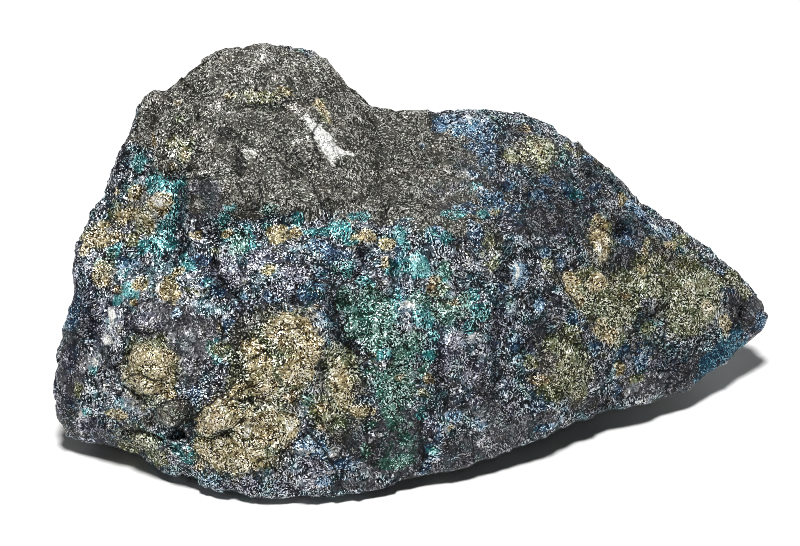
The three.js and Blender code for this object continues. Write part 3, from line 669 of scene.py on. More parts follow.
        (519, 276, 5, 12, 1, -12), (538, 305, 3, 7), (420, 265, 8, 11), (113, 322, 6, 14, 1, -8),
        (245, 295, 5, 4), (84, 416, 3, 7, 1, -25), (298, 247, 7, 3), (160, 205, 8, 6, 0.8),
        (402, 238, 3, 6), (660, 228, 9, 2.5, 1, -42), (640, 212, 4, 5), (320, 449, 4, 3), (278, 236, 5, 4),
        (467, 118, 3, 8), (96, 364, 7, 4), (440, 125, 4, 6, 1, 20), (306, 322, 8, 3, 1, -30),
        (212, 306, 8, 3, 1, -20), (275, 272, 7, 4), (230, 254, 6, 6, 0.8), (395, 312, 4, 6),
        (93, 361, 7, 8, 1, -20), (83, 412, 5, 8, 1, -20), (105, 392, 7, 4, 1, -30),
        (140, 290, 50, 34, 0.47), (120, 405, 26, 10, 0.5, 20), (192, 350, 26, 24, 0.46),
    ),
    # The first rows draw the white quartz vein; the small bright spots from (112, 318) on are painted
    # glints
    Mineral.QUARTZ_AND_GLINTS: patches(
        (303, 119, 4, 2, 1, -40), (309, 124, 5, 3, 1, -40), (317, 130, 8, 6, 1, -35),
        (323, 138, 9, 8, 1, -40), (328, 147, 7, 8, 1, -20), (331, 156, 4, 6, 1, -20), (334, 163, 2.5, 3),
        (346, 153, 9, 2.5, 1, -12), (336, 150, 6, 4), (230, 113, 3, 2, 0.8), (362, 122, 3, 1.5, 0.8),
        (282, 128, 2, 2, 0.7), (112, 318, 4.5, 10, 0.85, -8), (93, 362, 4, 5, 0.7, -20),
        (82, 414, 2.5, 6, 0.8, -20), (105, 391, 5, 2, 0.8, -30), (160, 200, 9, 6, 0.55),
        (475, 335, 8, 5, 0.6), (519, 274, 3, 9, 0.7, -12), (108, 340, 6, 6, 0.7), (163, 200, 6, 5, 0.6),
        (152, 214, 6, 6, 0.52), (275, 236, 4, 4, 0.55), (450, 430, 3, 5, 0.5), (248, 430, 5, 9, 0.5),
        (222, 405, 10, 6, 0.5), (330, 452, 10, 7, 0.5), (290, 424, 6, 8, 0.5), (418, 258, 6, 6, 0.52),
        (408, 308, 8, 7, 0.52), (610, 207, 5, 5, 0.5), (655, 226, 8, 2.5, 0.6, -42), (468, 120, 3, 8, 0.55),
        (690, 285, 10, 9, 0.48), (704, 312, 6, 5, 0.5), (598, 248, 5, 9, 0.5),
    ),
    Mineral.GLAZE: patches(
        (722, 347, 17, 7, 1, 42), (706, 362, 13, 7, 1, 40), (735, 336, 8, 6, 1, 42),
        (728, 352, 15, 6, 1, 42), (713, 367, 14, 6, 1, 40), (742, 344, 8, 5, 0.8, 40),
        (698, 377, 8, 5, 0.8, 40),
    ),
}

AROUND: dict[Mineral, tuple[Spot, ...]] = {
    Mineral.ROCK: spots(
        (-22, 22, 34, 13), (-8, 24, 26, 10), (-36, 12, 26, 8), (10, 22, 26, 9), (30, 16, 8, 6),
        (-46, -6, 10, 5, 0.8), (-30, 22, 22, 8, 0.9), (22, 16, 27, 6, 0.7),
    ),
    Mineral.SLATE_AND_SHADE: spots(
        (-20, 26, 12, 8, 0.9), (12, 24, 12, 8, 0.9), (-47, -2, 14, 5), (34, 12, 6, 5, 0.9),
        (-40, 8, 16, 5, 0.8),
    ),
    Mineral.BLUE: spots(
        (-38, 12, 14, 6), (4, 25, 16, 6), (24, 17, 18, 5), (-46, -8, 18, 3), (34, 12, 14, 4),
        (-14, 25, 22, 3), (40, 9, 8, 3), (-24, 24, 16, 3, 0.8),
    ),
    Mineral.VIOLET: spots(
        (-20, 25, 18, 6), (14, 22, 12, 6), (-45, -4, 20, 4), (30, 14, 18, 5), (-46, -11, 8, 4),
        (-34, 18, 12, 4), (0, 26, 12, 4),
    ),
    Mineral.TEAL: spots(
        (-12, 26, 13, 4), (-34, 17, 20, 3), (20, 20, 9, 3), (38, 10, 14, 3), (-41, 6, 22, 2.5),
        (8, 24, 8, 2, 0.8), (27, 15, 22, 2, 0.8),
    ),
    Mineral.GREEN: spots((-4, 26, 8, 4, 0.9), (-40, 10, 8, 4, 0.8), (-8, 26, 15, 3, 0.8)),
    Mineral.BROWN: spots((2, 25, 22, 7, 0.8), (-28, 22, 20, 7, 0.8), (30, 14, 12, 6, 0.8)),
    Mineral.BRASS: spots(
        (-26, 22, 22, 4, 0.9), (8, 25, 20, 4), (28, 16, 10, 4), (-42, 5, 18, 3, 0.8), (16, 18, 26, 3),
        (3, 25, 23, 3, 0.8), (-31, 20, 17, 2.5, 0.8),
    ),
    Mineral.GOLD: spots(
        (-38, 14, 21, 2, 0.9), (-16, 26, 10, 3), (18, 21, 14, 2.5), (-46, -7, 14, 2, 0.8),
        (34, 12, 11, 2.5), (-30, 17, 31, 2, 0.8), (2, 26, 11, 2), (24, 18, 22, 2), (-19, 26, 8, 2),
        (10, 25, 18, 2, 0.8),
    ),
    # Dark tarnish on the back; the low spots near the table are painted shade on the underside, keeping the
    # shadow under the overhang dark
    Mineral.DARK_AND_SHADE: spots(
        (-30, 20, 14, 6, 0.8), (20, 20, 18, 6, 0.8), (-44, 0, 12, 5, 0.7), (40, 8, 10, 5, 0.7),
        (14, -12, 0, 6, 1.2), (23, -7, 0, 7, 1.2), (32, -2, 1, 6, 1.2), (4, -16, -1, 6, 1.2),
        (24, 4, 0, 10, 1.2), (38, 3, 3, 4, 1.2), (10, 0, -2, 12, 1.2), (-6, -20, -2, 6, 1.2),
    ),
    # Painted glints on the back and sides
    Mineral.PAINTED_GLINTS: spots(
        (-24, 24, 10, 3), (12, 23, 20, 3), (-45, 0, 20, 2.5), (36, 11, 8, 2.5), (0, 26, 18, 4, 0.6),
        (-36, 15, 16, 4, 0.6), (26, 17, 14, 4, 0.6),
    ),
    Mineral.QUARTZ_AND_GLINTS: spots((-14, 22, 37, 1.6)),
}

SWELLS: tuple[Swell, ...] = (
    Swell(148, 366, 27, 29, 0.9, blunt=0.8), Swell(218, 417, 22, 14, 0.8, -32, 0.8),
    Swell(171, 413, 20, 16, 0.6, blunt=0.8), Swell(179, 436, 7, 6, -1.0), Swell(283, 431, 15, 16, 0.5),
    Swell(400, 440, 28, 30, 0.8, blunt=0.7), Swell(312, 466, 26, 34, 0.5, blunt=0.8),
    Swell(362, 325, 22, 42, -0.5, -20), Swell(340, 330, 9, 42, -0.4, -20),
    Swell(224, 290, 14, 26, -1.0, -35), Swell(330, 290, 16, 12, 0.5), Swell(539, 154, 20, 20, 0.5),
    Swell(599, 253, 12, 16, 0.5), Swell(620, 232, 16, 10, -0.8), Swell(573, 270, 9, 18, -0.7, -35),
    Swell(640, 262, 12, 8, -0.5), Swell(556, 285, 12, 26, -0.5, -35), Swell(510, 262, 12, 12, -0.7),
    Swell(162, 200, 14, 11, 0.5), Swell(176, 170, 30, 5, -0.6, 6), Swell(330, 145, 18, 20, 0.3),
    Swell(260, 103, 40, 7, -0.5, -8), Swell(566, 372, 26, 26, 0.5), Swell(700, 300, 40, 30, 0.4),
    Swell(460, 352, 34, 22, 0.4), Swell(276, 236, 12, 10, 0.4), Swell(366, 237, 12, 10, 0.4),
    Swell(245, 165, 18, 16, -0.4), Swell(205, 385, 10, 12, -0.5), Swell(262, 380, 16, 20, 0.4),
    Swell(420, 264, 11, 11, 0.4), Swell(744, 312, 8, 10, -0.9, 0, 0.5), Swell(107, 191, 9, 8, -0.9, 0, 0.4),
    Swell(155, 98, 16, 13, 0.9, -40, 0.5), Swell(62, 412, 10, 18, 0.6), Swell(606, 167, 6, 5, -0.6),
    Swell(440, 410, 20, 14, -0.7), Swell(160, 260, 40, 18, -0.5, 30), Swell(210, 250, 12, 26, -0.7, -25),
)

CRACKS: tuple[Crack, ...] = (
    Crack(((150, 172), (166, 176), (182, 179), (200, 178), (209, 175), (227, 172)), 0.8),
    Crack(((226, 132), (238, 137), (250, 144)), 0.4),
    Crack(((236, 147), (238, 156), (241, 166), (243, 175)), 0.7), Crack(((238, 180), (243, 197)), 0.3, 0.3),
    Crack(((246, 182), (258, 184), (263, 176)), 0.3, 0.3), Crack(((259, 186), (262, 197)), 0.3, 0.3),
    Crack(((240, 108), (254, 102), (266, 102), (276, 105), (284, 109)), 0.5),
    Crack(((318, 122), (312, 134), (316, 147), (321, 157)), 0.3, 0.3),
    Crack(((337, 276), (331, 292), (336, 310), (343, 326), (352, 342), (363, 356)), 0.5, 0.5),
    Crack(((336, 289), (345, 281), (354, 280), (361, 272)), 0.7),
    Crack(((125, 379), (141, 374), (150, 378), (164, 381)), 0.4, 0.3),
    Crack(((122, 386), (133, 395), (145, 397), (165, 393)), 0.7),
    Crack(
        ((150, 420), (153, 410), (162, 403), (175, 399), (188, 400), (192, 409), (184, 421), (171, 436)),
        0.7,
    ),
    Crack(((198, 438), (213, 440), (228, 432), (242, 420)), 0.7),
    Crack(((187, 422), (203, 408), (221, 396), (233, 382), (240, 374)), 0.7),
    Crack(((240, 396), (250, 402), (258, 408)), 0.4, 0.35),
    Crack(((124, 433), (140, 432), (152, 437), (166, 444), (180, 452)), 0.7),
    Crack(((308, 431), (300, 437), (283, 452), (280, 462)), 0.5),
    Crack(((308, 431), (320, 446), (332, 462), (341, 486)), 0.6),
    Crack(((372, 410), (366, 425), (368, 445), (374, 462)), 0.5),
    Crack(((424, 412), (420, 430), (424, 450), (421, 470)), 0.6),
    Crack(((440, 352), (438, 372), (450, 392), (446, 410)), 0.5),
    Crack(((497, 384), (505, 366), (520, 352), (532, 338)), 0.5),
    Crack(((553, 250), (556, 270), (566, 290), (580, 306)), 0.6),
    Crack(((589, 232), (600, 226), (611, 231)), 0.5, 0.35),
    Crack(((655, 372), (672, 370), (688, 373)), 0.4, 0.35),
    Crack(((120, 163), (133, 172), (146, 176)), 0.5), Crack(((213, 318), (224, 330), (222, 345)), 0.5),
    Crack(((133, 331), (146, 335), (158, 330)), 0.5),
    Crack(((500, 236), (508, 240), (517, 246), (516, 262)), 0.7),
    Crack(((214, 262), (218, 276), (228, 290), (240, 303)), 0.8, 0.5),
    Crack(((240, 328), (262, 322), (280, 330), (300, 328)), 0.4),
    Crack(((397, 203), (418, 201), (432, 206)), 0.3, 0.3),
    Crack(((313, 184), (318, 196), (324, 206), (327, 218)), 0.6),
    Crack(((277, 156), (280, 165), (288, 160)), 0.3, 0.3),
    Crack(((383, 203), (386, 215), (384, 223)), 0.4, 0.3),
    Crack(((222, 399), (231, 386), (243, 376)), 0.4, 0.35),
    Crack(((228, 402), (240, 392), (256, 385)), 0.4, 0.35),
    Crack(((230, 374), (245, 363), (262, 352)), 0.35, 0.35),
    Crack(((240, 400), (254, 397), (268, 402)), 0.35, 0.3),
)


# ------------------------------------------------------------------ the lump


Mark = Patch | Swell


@dataclass
class Survey:
    """Carries the listed marks from the view onto the lump's surface.

    The seed and the start fix the noise that shifts the points. The thickness is how deep an oval
    reaches along the line of sight, in its larger half size.
    """

    view: View
    tree: BVHTree
    points: np.ndarray
    seed: int = 11
    start: Triple = (3.7, 0.0, 0.0)
    thickness: float = 1.5

    def hit(self, x: float, y: float) -> np.ndarray | None:
        """Where a pixel of the view falls on the lump, in metres, or None beside it."""
        found = self.tree.ray_cast(self.view.place, self.view.ray(x, y))[0]
        return None if found is None else np.array(found)

    def placed(self, marks: Sequence[Mark]) -> Iterator[tuple[Mark, np.ndarray]]:
        """Goes through the marks that fall on the lump.

        Args:
            marks: Patches or swells.

        Yields:
            Each mark with its middle on the lump.
        """
        for mark in marks:
            middle = self.hit(mark.x, mark.y)
            if middle is None:
                LOG.warning("beside the lump: %s", mark)
            else:
                yield mark, middle

    def shifts(self, swing: float, size: float) -> np.ndarray:
        """A repeatable noise that shifts the surface points.

        Args:
            swing: The largest shift in metres.
            size: The size of the noise in metres.

        Returns:
            One shift for each point.
        """
        noise.seed_set(self.seed)
        start = Vector(self.start)
        return swing * np.array([noise.noise_vector(Vector(p) / size + start) for p in self.points])

    def away(self, points: np.ndarray, mark: Mark, middle: np.ndarray) -> np.ndarray:
        """How far points lie from the middle of a mark's oval, 1 at its rim.

        Args:
            points: The points to measure.
            mark: The patch or swell, turned anticlockwise by its degrees.
            middle: Its middle on the lump.

        Returns:
            One distance for each point.
        """
        offset = points - middle
        rise = offset @ np.array(self.view.up)
        depth = offset @ np.array(self.view.forward)
        angle = math.radians(mark.turn)
        across = offset[:, 0] * math.cos(angle) + rise * math.sin(angle)
        rising = rise * math.cos(angle) - offset[:, 0] * math.sin(angle)
        thick = self.thickness * max(mark.wide, mark.high)
        parts = ((across, mark.wide), (rising, mark.high), (depth, thick))
        return np.sqrt(sum((part / (size * self.view.pixel)) ** 2 for part, size in parts))


# The inputs of the relief's node tree: sizes and heights in metres, tilts as slopes
RELIEF: dict[str, float] = {
    "Chip size": 4.4 * MM, "Chip tilt": 0.12,
    "Flake size": 2.0 * MM, "Flake tilt": 0.15,
    "Grain size": 0.95 * MM, "Grain tilt": 0.16,
    "Grit height": 0.07 * MM, "Settle height": 1.2 * MM,
    "Highest chip": 0.28 * MM, "Deepest chip": -0.32 * MM,
}


@dataclass
class Lump:
    """The whole specimen: one broken piece of ore.

    The patches are laid on points that a border noise and a finer fringe noise have shifted, so
    that no border is a clean oval. Swells and cracks take only a share of that shift. A patch has
    faded out at a number of half sizes from its middle, and cracks are felt up to a number of
    millimetres. Rock has coarser grit, glaze and slate have calmer chips. Last, each point is
    compared with its surroundings, evened out in few steps for what is near and many for far;
    the finish darkens the deeper points as painted shade.
    """

    view: View
    levels: int = 2
    merge: float = 1e-6
    border_swing: float = 0.35 * MM
    border_size: float = 3.5 * MM
    fringe_swing: float = 0.40 * MM
    fringe_size: float = 1.1 * MM
    relief_share: float = 0.4
    fade: float = 1.5
    crack_hold: float = 3.0
    groove: float = 0.55
    grit_size: float = 0.9 * MM
    rock_grit: float = 0.4
    glaze_calm: float = 0.85
    slate_and_shade_calm: float = 0.7
    calm_range: Range = (0.0, 0.9, 1.0, 0.1)
    # Steps and depths for the hollows that the finish darkens as painted shade
    near_steps: int = 8
    near_depth: float = 0.10 * MM
    far_steps: int = 60
    far_depth: float = 0.35 * MM

    def coarse(self) -> bpy.types.Object:
        """Copies the CAD lump, merges its loose triangles and divides them smoothly.

        Returns:
            A closed mesh object with the lump's main shape.
        """
        sheet = bmesh.new()
        sheet.from_mesh(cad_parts[ORE_NODE].data)
        bmesh.ops.remove_doubles(sheet, verts=sheet.verts, dist=self.merge)
        mesh = bpy.data.meshes.new("ore")
        sheet.to_mesh(mesh)
        sheet.free()
        mesh.materials.clear()
        ore = bpy.data.objects.new("ore", mesh)
        bpy.context.scene.collection.objects.link(ore)
        divide = ore.modifiers.new("divide", "SUBSURF")
        divide.levels = self.levels
        divide.render_levels = self.levels
        return self.baked(ore)

    @staticmethod
    def baked(ore: bpy.types.Object) -> bpy.types.Object:
        """Turns an object's modifiers into plain mesh.

        Args:
            ore: An object with modifiers.

        Returns:
            The same object with a plain mesh and no modifiers.
        """
        seen = ore.evaluated_get(bpy.context.evaluated_depsgraph_get())
        old = ore.data
        ore.data = bpy.data.meshes.new_from_object(seen)
        ore.modifiers.clear()
        bpy.data.meshes.remove(old)
        return ore

    @staticmethod
    def read(items: bpy.types.bpy_prop_collection, name: str) -> np.ndarray:
        """Reads a triple from each of a mesh's points.

        Args:
            items: The mesh's points.
            name: "co" for places, "normal" for directions.

        Returns:
            One row of three for each point.
        """
        values = np.empty(len(items) * 3)
        items.foreach_get(name, values)
        return values.reshape(-1, 3)

    @staticmethod
    def store(mesh: bpy.types.Mesh, name: str, values: np.ndarray) -> None:
        """Stores a number for each point under a name on the mesh."""
        attribute = mesh.attributes.new(name, "FLOAT", "POINT")
        attribute.data.foreach_set("value", values.astype(np.float32))

    def mark(self, ore: bpy.types.Object) -> None:
        """Stores what shows where, and the listed relief, on the lump's points.

        Args:
            ore: The smoothly divided lump.
        """
        mesh = ore.data
        points = self.read(mesh.vertices, "co")
        tree = BVHTree.FromObject(ore, bpy.context.evaluated_depsgraph_get())
        survey = Survey(self.view, tree, points)
        border = survey.shifts(self.border_swing, self.border_size)
        warped = points + border + survey.shifts(self.fringe_swing, self.fringe_size)
        for mineral in Mineral:
            self.store(mesh, mineral.value, self.mineral_field(survey, warped, mineral))
        steadier = points + self.relief_share * (warped - points)
        heights = np.zeros(len(points))
        for swell, middle in survey.placed(SWELLS):
            heights += swell.profile(survey.away(steadier, swell, middle))
        self.store(mesh, "swell", heights)
        gap, groove = self.crack_fields(survey, steadier)
        self.store(mesh, "crack", gap)
        self.store(mesh, "groove", groove)

    def mineral_field(self, survey: Survey, points: np.ndarray, mineral: Mineral) -> np.ndarray:
        """How strongly one mineral shows at each point.

        Args:
            survey: Carries the marks onto the lump.
            points: The surface points with their borders warped.
            mineral: The mineral.

        Returns:
            A strength for each point, a patch's own in its middle.
        """
        strength = np.zeros(len(points))
        for patch, middle in survey.placed(FRONT.get(mineral, ())):
            away = survey.away(points, patch, middle)
            strength = np.maximum(strength, patch.strength * eased(self.fade - away))
        for spot in AROUND.get(mineral, ()):
            offset = points - np.array((spot.x, spot.y, spot.z)) * MM
            away = np.linalg.norm(offset, axis=1) / (spot.radius * MM)
            strength = np.maximum(strength, spot.strength * eased(self.fade - away))
        return strength

    def crack_fields(self, survey: Survey, points: np.ndarray) -> tuple[np.ndarray, np.ndarray]:
        """The side and distance of the nearest crack, and the depth of its groove.

        Args:
            survey: Carries the marks onto the lump.
            points: The surface points.

        Returns:
            The signed distance in millimetres, held at its limit, and the depth in metres.
        """
        nearest = np.full(len(points), self.crack_hold)
        signed = np.full(len(points), self.crack_hold)
        depth = np.zeros(len(points))
        along = np.array(survey.view.forward)
        for crack in CRACKS:
            hits = [survey.hit(x, y) for x, y in crack.points]
            trail = [hit for hit in hits if hit is not None]
            for start, end in zip(trail[:-1], trail[1:]):
                run = end - start
                share = np.clip((points - start) @ run / np.linalg.norm(run) ** 2, 0.0, 1.0)
                away = points - (start + share[:, None] * run)
                distance = np.linalg.norm(away, axis=1) / MM
                side = np.sign(away @ np.cross(run, along))
                closer = distance < nearest
                nearest = np.where(closer, distance, nearest)
                signed = np.where(closer, side * distance, signed)
                fall = np.exp(-((distance / crack.reach) ** 2))
                depth = np.maximum(depth, self.groove * crack.depth * MM * fall)
        return signed, depth

    def relief(self, ore: bpy.types.Object) -> None:
        """Breaks the smooth surface into chips and grains with Geometry Nodes.

        Args:
            ore: The marked lump.
        """
        tree = bpy.data.node_groups.new("broken surface", "GeometryNodeTree")
        tree.interface.new_socket("Geometry", in_out="INPUT", socket_type="NodeSocketGeometry")
        for name in RELIEF:
            tree.interface.new_socket(name, in_out="INPUT", socket_type="NodeSocketFloat")
        tree.interface.new_socket("Finish", in_out="INPUT", socket_type="NodeSocketMaterial")
        tree.interface.new_socket("Geometry", in_out="OUTPUT", socket_type="NodeSocketGeometry")
        graph = Graph(tree)
        given = graph.node("NodeGroupInput")
        offset = graph.scaled(graph.node("GeometryNodeInputNormal"), self.heights(graph, given))
        raised = {"Geometry": given.other("Geometry"), "Offset": offset}
        moved = graph.node("GeometryNodeSetPosition", {}, raised)
        whole = graph.node("GeometryNodeRealizeInstances", {}, {0: moved})
        finished = {"Geometry": whole, "Material": given.other("Finish")}
        dressed = graph.node("GeometryNodeSetMaterial", {}, finished)
        graph.node("NodeGroupOutput", {}, {0: dressed})
        modifier = ore.modifiers.new("broken surface", "NODES")
        modifier.node_group = tree
        taken = [item for item in tree.interface.items_tree if item.in_out == "INPUT"]
        sockets = {item.name: item.identifier for item in taken}
        for name, size in RELIEF.items():
            modifier[sockets[name]] = size
        modifier[sockets["Finish"]] = OreFinish().material()
        self.baked(ore)

    def heights(self, graph: Graph, given: Sock) -> Sock:
        """Works out how far each point of the surface is raised.

        Args:
            graph: The relief's graph.
            given: An output of the tree's Group Input.

        Returns:
            The height in metres. It fades out where the lump rests on the table.
        """
        dial = {name: given.other(name) for name in RELIEF}
        place = graph.node("GeometryNodeInputPosition")
        glaze = self.glaze_calm * graph.named(Mineral.GLAZE.value)
        calm = (glaze + self.slate_and_shade_calm * graph.named(Mineral.SLATE_AND_SHADE.value)).between(*self.calm_range)
        height: Any = 0.0
        for name in ("Chip", "Flake", "Grain"):
            scale = 1.0 / dial[f"{name} size"]
            middle = graph.cells(place, scale, "Position")
            lean = graph.vector("SUBTRACT", graph.cells(place, scale, "Color"), GREY)
            offset = graph.vector("SUBTRACT", place, middle)
            slope = graph.vector("DOT_PRODUCT", lean, offset, output="Value")
            height = height + slope * dial[f"{name} tilt"] * 2.0 * calm
        rough = 1.0 + self.rock_grit * graph.named(Mineral.ROCK.value)
        grit = graph.clouds(place, self.grit_size, detail=3.0) - MEAN
        height = height + grit * dial["Grit height"] * 2.0 * calm * rough
        height = graph.math("MINIMUM", height, dial["Highest chip"])
        height = graph.math("MAXIMUM", height, dial["Deepest chip"])
        height = height + graph.named("swell") - graph.named("groove")
        level = graph.node("ShaderNodeSeparateXYZ", {}, {0: place}, "Z")
        return height * (level / dial["Settle height"]).between(0.0, 1.0)

    def hollow_shading(self, ore: bpy.types.Object) -> None:
        """Stores how deep each point lies among its neighbours, near by and further round, for painted
        shade.

        Args:
            ore: The lump with its broken surface.
        """
        mesh = ore.data
        count = len(mesh.vertices)
        points = self.read(mesh.vertices, "co")
        normals = self.read(mesh.vertices, "normal")
        edges = np.empty(len(mesh.edges) * 2, dtype=np.int64)
        mesh.edges.foreach_get("vertices", edges)
        edges = edges.reshape(-1, 2)
        ends = np.concatenate((edges[:, 0], edges[:, 1]))
        others = np.concatenate((edges[:, 1], edges[:, 0]))
        shares = np.bincount(ends, minlength=count)[:, None]
        wanted = {self.near_steps: ("hollow", self.near_depth), self.far_steps: ("dip", self.far_depth)}
        soft = points.copy()
        for step in range(1, max(wanted) + 1):
            sums = np.stack([np.bincount(ends, soft[others, axis], count) for axis in range(3)], axis=1)
            soft = 0.5 * soft + 0.5 * sums / shares
            if step in wanted:
                name, depth = wanted[step]
                self.store(mesh, name, np.einsum("ij,ij->i", soft - points, normals) / depth)

    def build(self) -> bpy.types.Object:
        """Makes the finished lump and tells the frame what it stands for.

        Returns:
            The lump.
        """
        ore = self.coarse()
        self.mark(ore)
        self.relief(ore)
        self.hollow_shading(ore)
        ore.name = "ore_lump"
        ore.data.name = "ore_lump"
        ore.data.shade_smooth()
        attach(ore, BODY)
        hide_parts(ORE_NODE)
        LOG.info("ore_lump: %d faces", len(ore.data.polygons))
        return ore


# ------------------------------------------------------------------ the finish


LEVELS = 255  # of a screen, from black to white


def about_grey(cast: Triple) -> Triple:
    """A cast in screen levels as a colour about middle grey."""
    return tuple(MEAN + part / LEVELS for part in cast)


@dataclass(frozen=True)
class Grain:
    """The look of one mineral, in screen levels from 0 to 255.

    The levels are those of its darkest, middling and brightest flecks; the brightest are partly
    painted glints. The cast tints them all; a mineral without one only changes how bright the film
    under it looks, which is how painted shade, glints and sheen are laid.
    """

    levels: Triple
    cast: Triple | None
    play: float = 0.6
    metal: float = 0.6
    hold: float = 1.0

    def level_colour(self) -> Triple:
        """The three levels as one colour."""
        return tuple(level / LEVELS for level in self.levels)


GRAINS: dict[Mineral, Grain] = {
    Mineral.ROCK: Grain((14, 74, 222), (1, 0, -9), 0.08, 0.3, 1.3),
    # Smooth darker grey, partly painted shade
    Mineral.SLATE_AND_SHADE: Grain((17, 65, 170), (-1, 0, 3), 0.25, 0.4),
    Mineral.BLUE: Grain((0, 74, 285), (-25, 5, 28), 0.4, 0.6, 0.85),
    Mineral.VIOLET: Grain((0, 66, 250), (-4, -1, 10), 0.4, 0.6, 0.9),
    Mineral.TEAL: Grain((0, 102, 285), (-50, 20, 20), 0.4, 0.6, 0.9),
    Mineral.GREEN: Grain((0, 90, 285), (-28, 14, -2), 0.4, 0.6, 0.95),
    Mineral.BROWN: Grain((6, 62, 200), (1, 1, -10), 0.3, 0.5, 0.8),
    Mineral.BRASS: Grain((8, 106, 290), (1, 4, -31), 0.25, 0.6, 0.8),
    Mineral.GOLD: Grain((34, 174, 305), (15, 0, -42), 0.2, 0.6, 0.95),
    Mineral.COPPER: Grain((16, 118, 285), (17, 0, -38), 0.4, 0.6, 0.8),
    # Brightness only: dark tarnish and painted shade
    Mineral.DARK_AND_SHADE: Grain((0, 34, 160), None),
    # Brightness only: painted glints
    Mineral.PAINTED_GLINTS: Grain((6, 156, 305), None),
    # Brightness only: painted sheen
    Mineral.PAINTED_SHEEN: Grain((70, 170, 260), None),
    # White quartz, also used for painted glints
    Mineral.QUARTZ_AND_GLINTS: Grain((165, 250, 305), (0, 0, -4), 0.0, 0.0, 1.05),
    Mineral.GLAZE: Grain((4, 60, 170), (-46, 9, 30), 0.2, 0.5, 1.1),
}
GROUND = Grain((0, 60, 265), (-7, 2, 4), 0.7)

# The tarnish film from thin to thick: where the drift of its thickness falls, and its cast
FILM: tuple[tuple[float, Triple], ...] = (
    (0.30, (4, 2, -10)), (0.40, (-2, -2, 12)), (0.47, (-8, 0, 12)), (0.53, (-12, 3, 12)),
    (0.58, (-24, 6, 24)), (0.66, (-36, 14, 18)), (0.74, (0, 5, -16)),
)


@dataclass(frozen=True)
class Layering:
    """How the minerals cover each other, grain by grain.

    A mineral covers a grain where its strength, swayed by a slow drift and by the grain's chance
    value, comes out more than even. The shares and the step give each mineral its own chance
    values, and the border says how softly one gives way to the next.
    """

    drift_size: float = 2.4 * MM
    second_drift: Triple = (0.07, 0.03, 0.05)
    drift: float = 1.1
    drift_full: float = 0.3
    grain_share: float = 5.3
    cluster_share: float = 2.1
    step: float = 0.618
    even: float = 0.5
    chance: float = 0.4
    border: float = 0.25

    def covers(self, graph: Graph, place: Sock, rolls: Sock) -> Iterator[tuple[Grain, Sock]]:
        """Goes through the minerals from the lowest to the topmost.

        Args:
            graph: The material's graph.
            place: Object coordinates.
            rolls: A chance value that is the same all over one grain.

        Yields:
            Each mineral's look and how much of the ones below it covers.
        """
        moved = graph.vector("ADD", place, self.second_drift)
        drifts = (
            *graph.parts(graph.clouds(place, self.drift_size, detail=4.0, output="Color")),
            *graph.parts(graph.clouds(moved, self.drift_size, detail=4.0, output="Color")),
        )
        for number, mineral in enumerate(Mineral):
            look = GRAINS[mineral]
            strength = graph.stored(mineral.value)
            roll = graph.math("FRACT", rolls + number * self.step)
            sway = (drifts[number % len(drifts)] - MEAN) * self.drift
            likely = strength * look.hold + sway * strength.between(0.0, self.drift_full)
            cover = likely - self.even + (roll - MEAN) * self.chance
            yield look, cover.between(-self.border, self.border)

    def looks(
        self, graph: Graph, place: Sock, grain_roll: Sock, cluster_roll: Sock
    ) -> tuple[Sock, Sock, Sock, Sock]:
        """Lays the minerals over the ground.

        Args:
            graph: The material's graph.
            place: Object coordinates.
            grain_roll: A chance value that is the same all over one grain.
            cluster_roll: A chance value that is the same all over one cluster of grains.

        Returns:
            The three levels as one colour, the cast, how much the film's play shows and the metal share.
        """
        levels: Any = GROUND.level_colour()
        cast: Any = about_grey(GROUND.cast)
        play: Any = GROUND.play
        metal: Any = GROUND.metal
        rolls = grain_roll * self.grain_share + cluster_roll * self.cluster_share
        for look, cover in self.covers(graph, place, rolls):
            levels = graph.blend(cover, levels, look.level_colour())
            if look.cast is not None:
                cast = graph.blend(cover, cast, about_grey(look.cast))
                play = cover * look.play + (1.0 - cover) * play
                metal = cover * look.metal + (1.0 - cover) * metal
        return levels, cast, play, metal


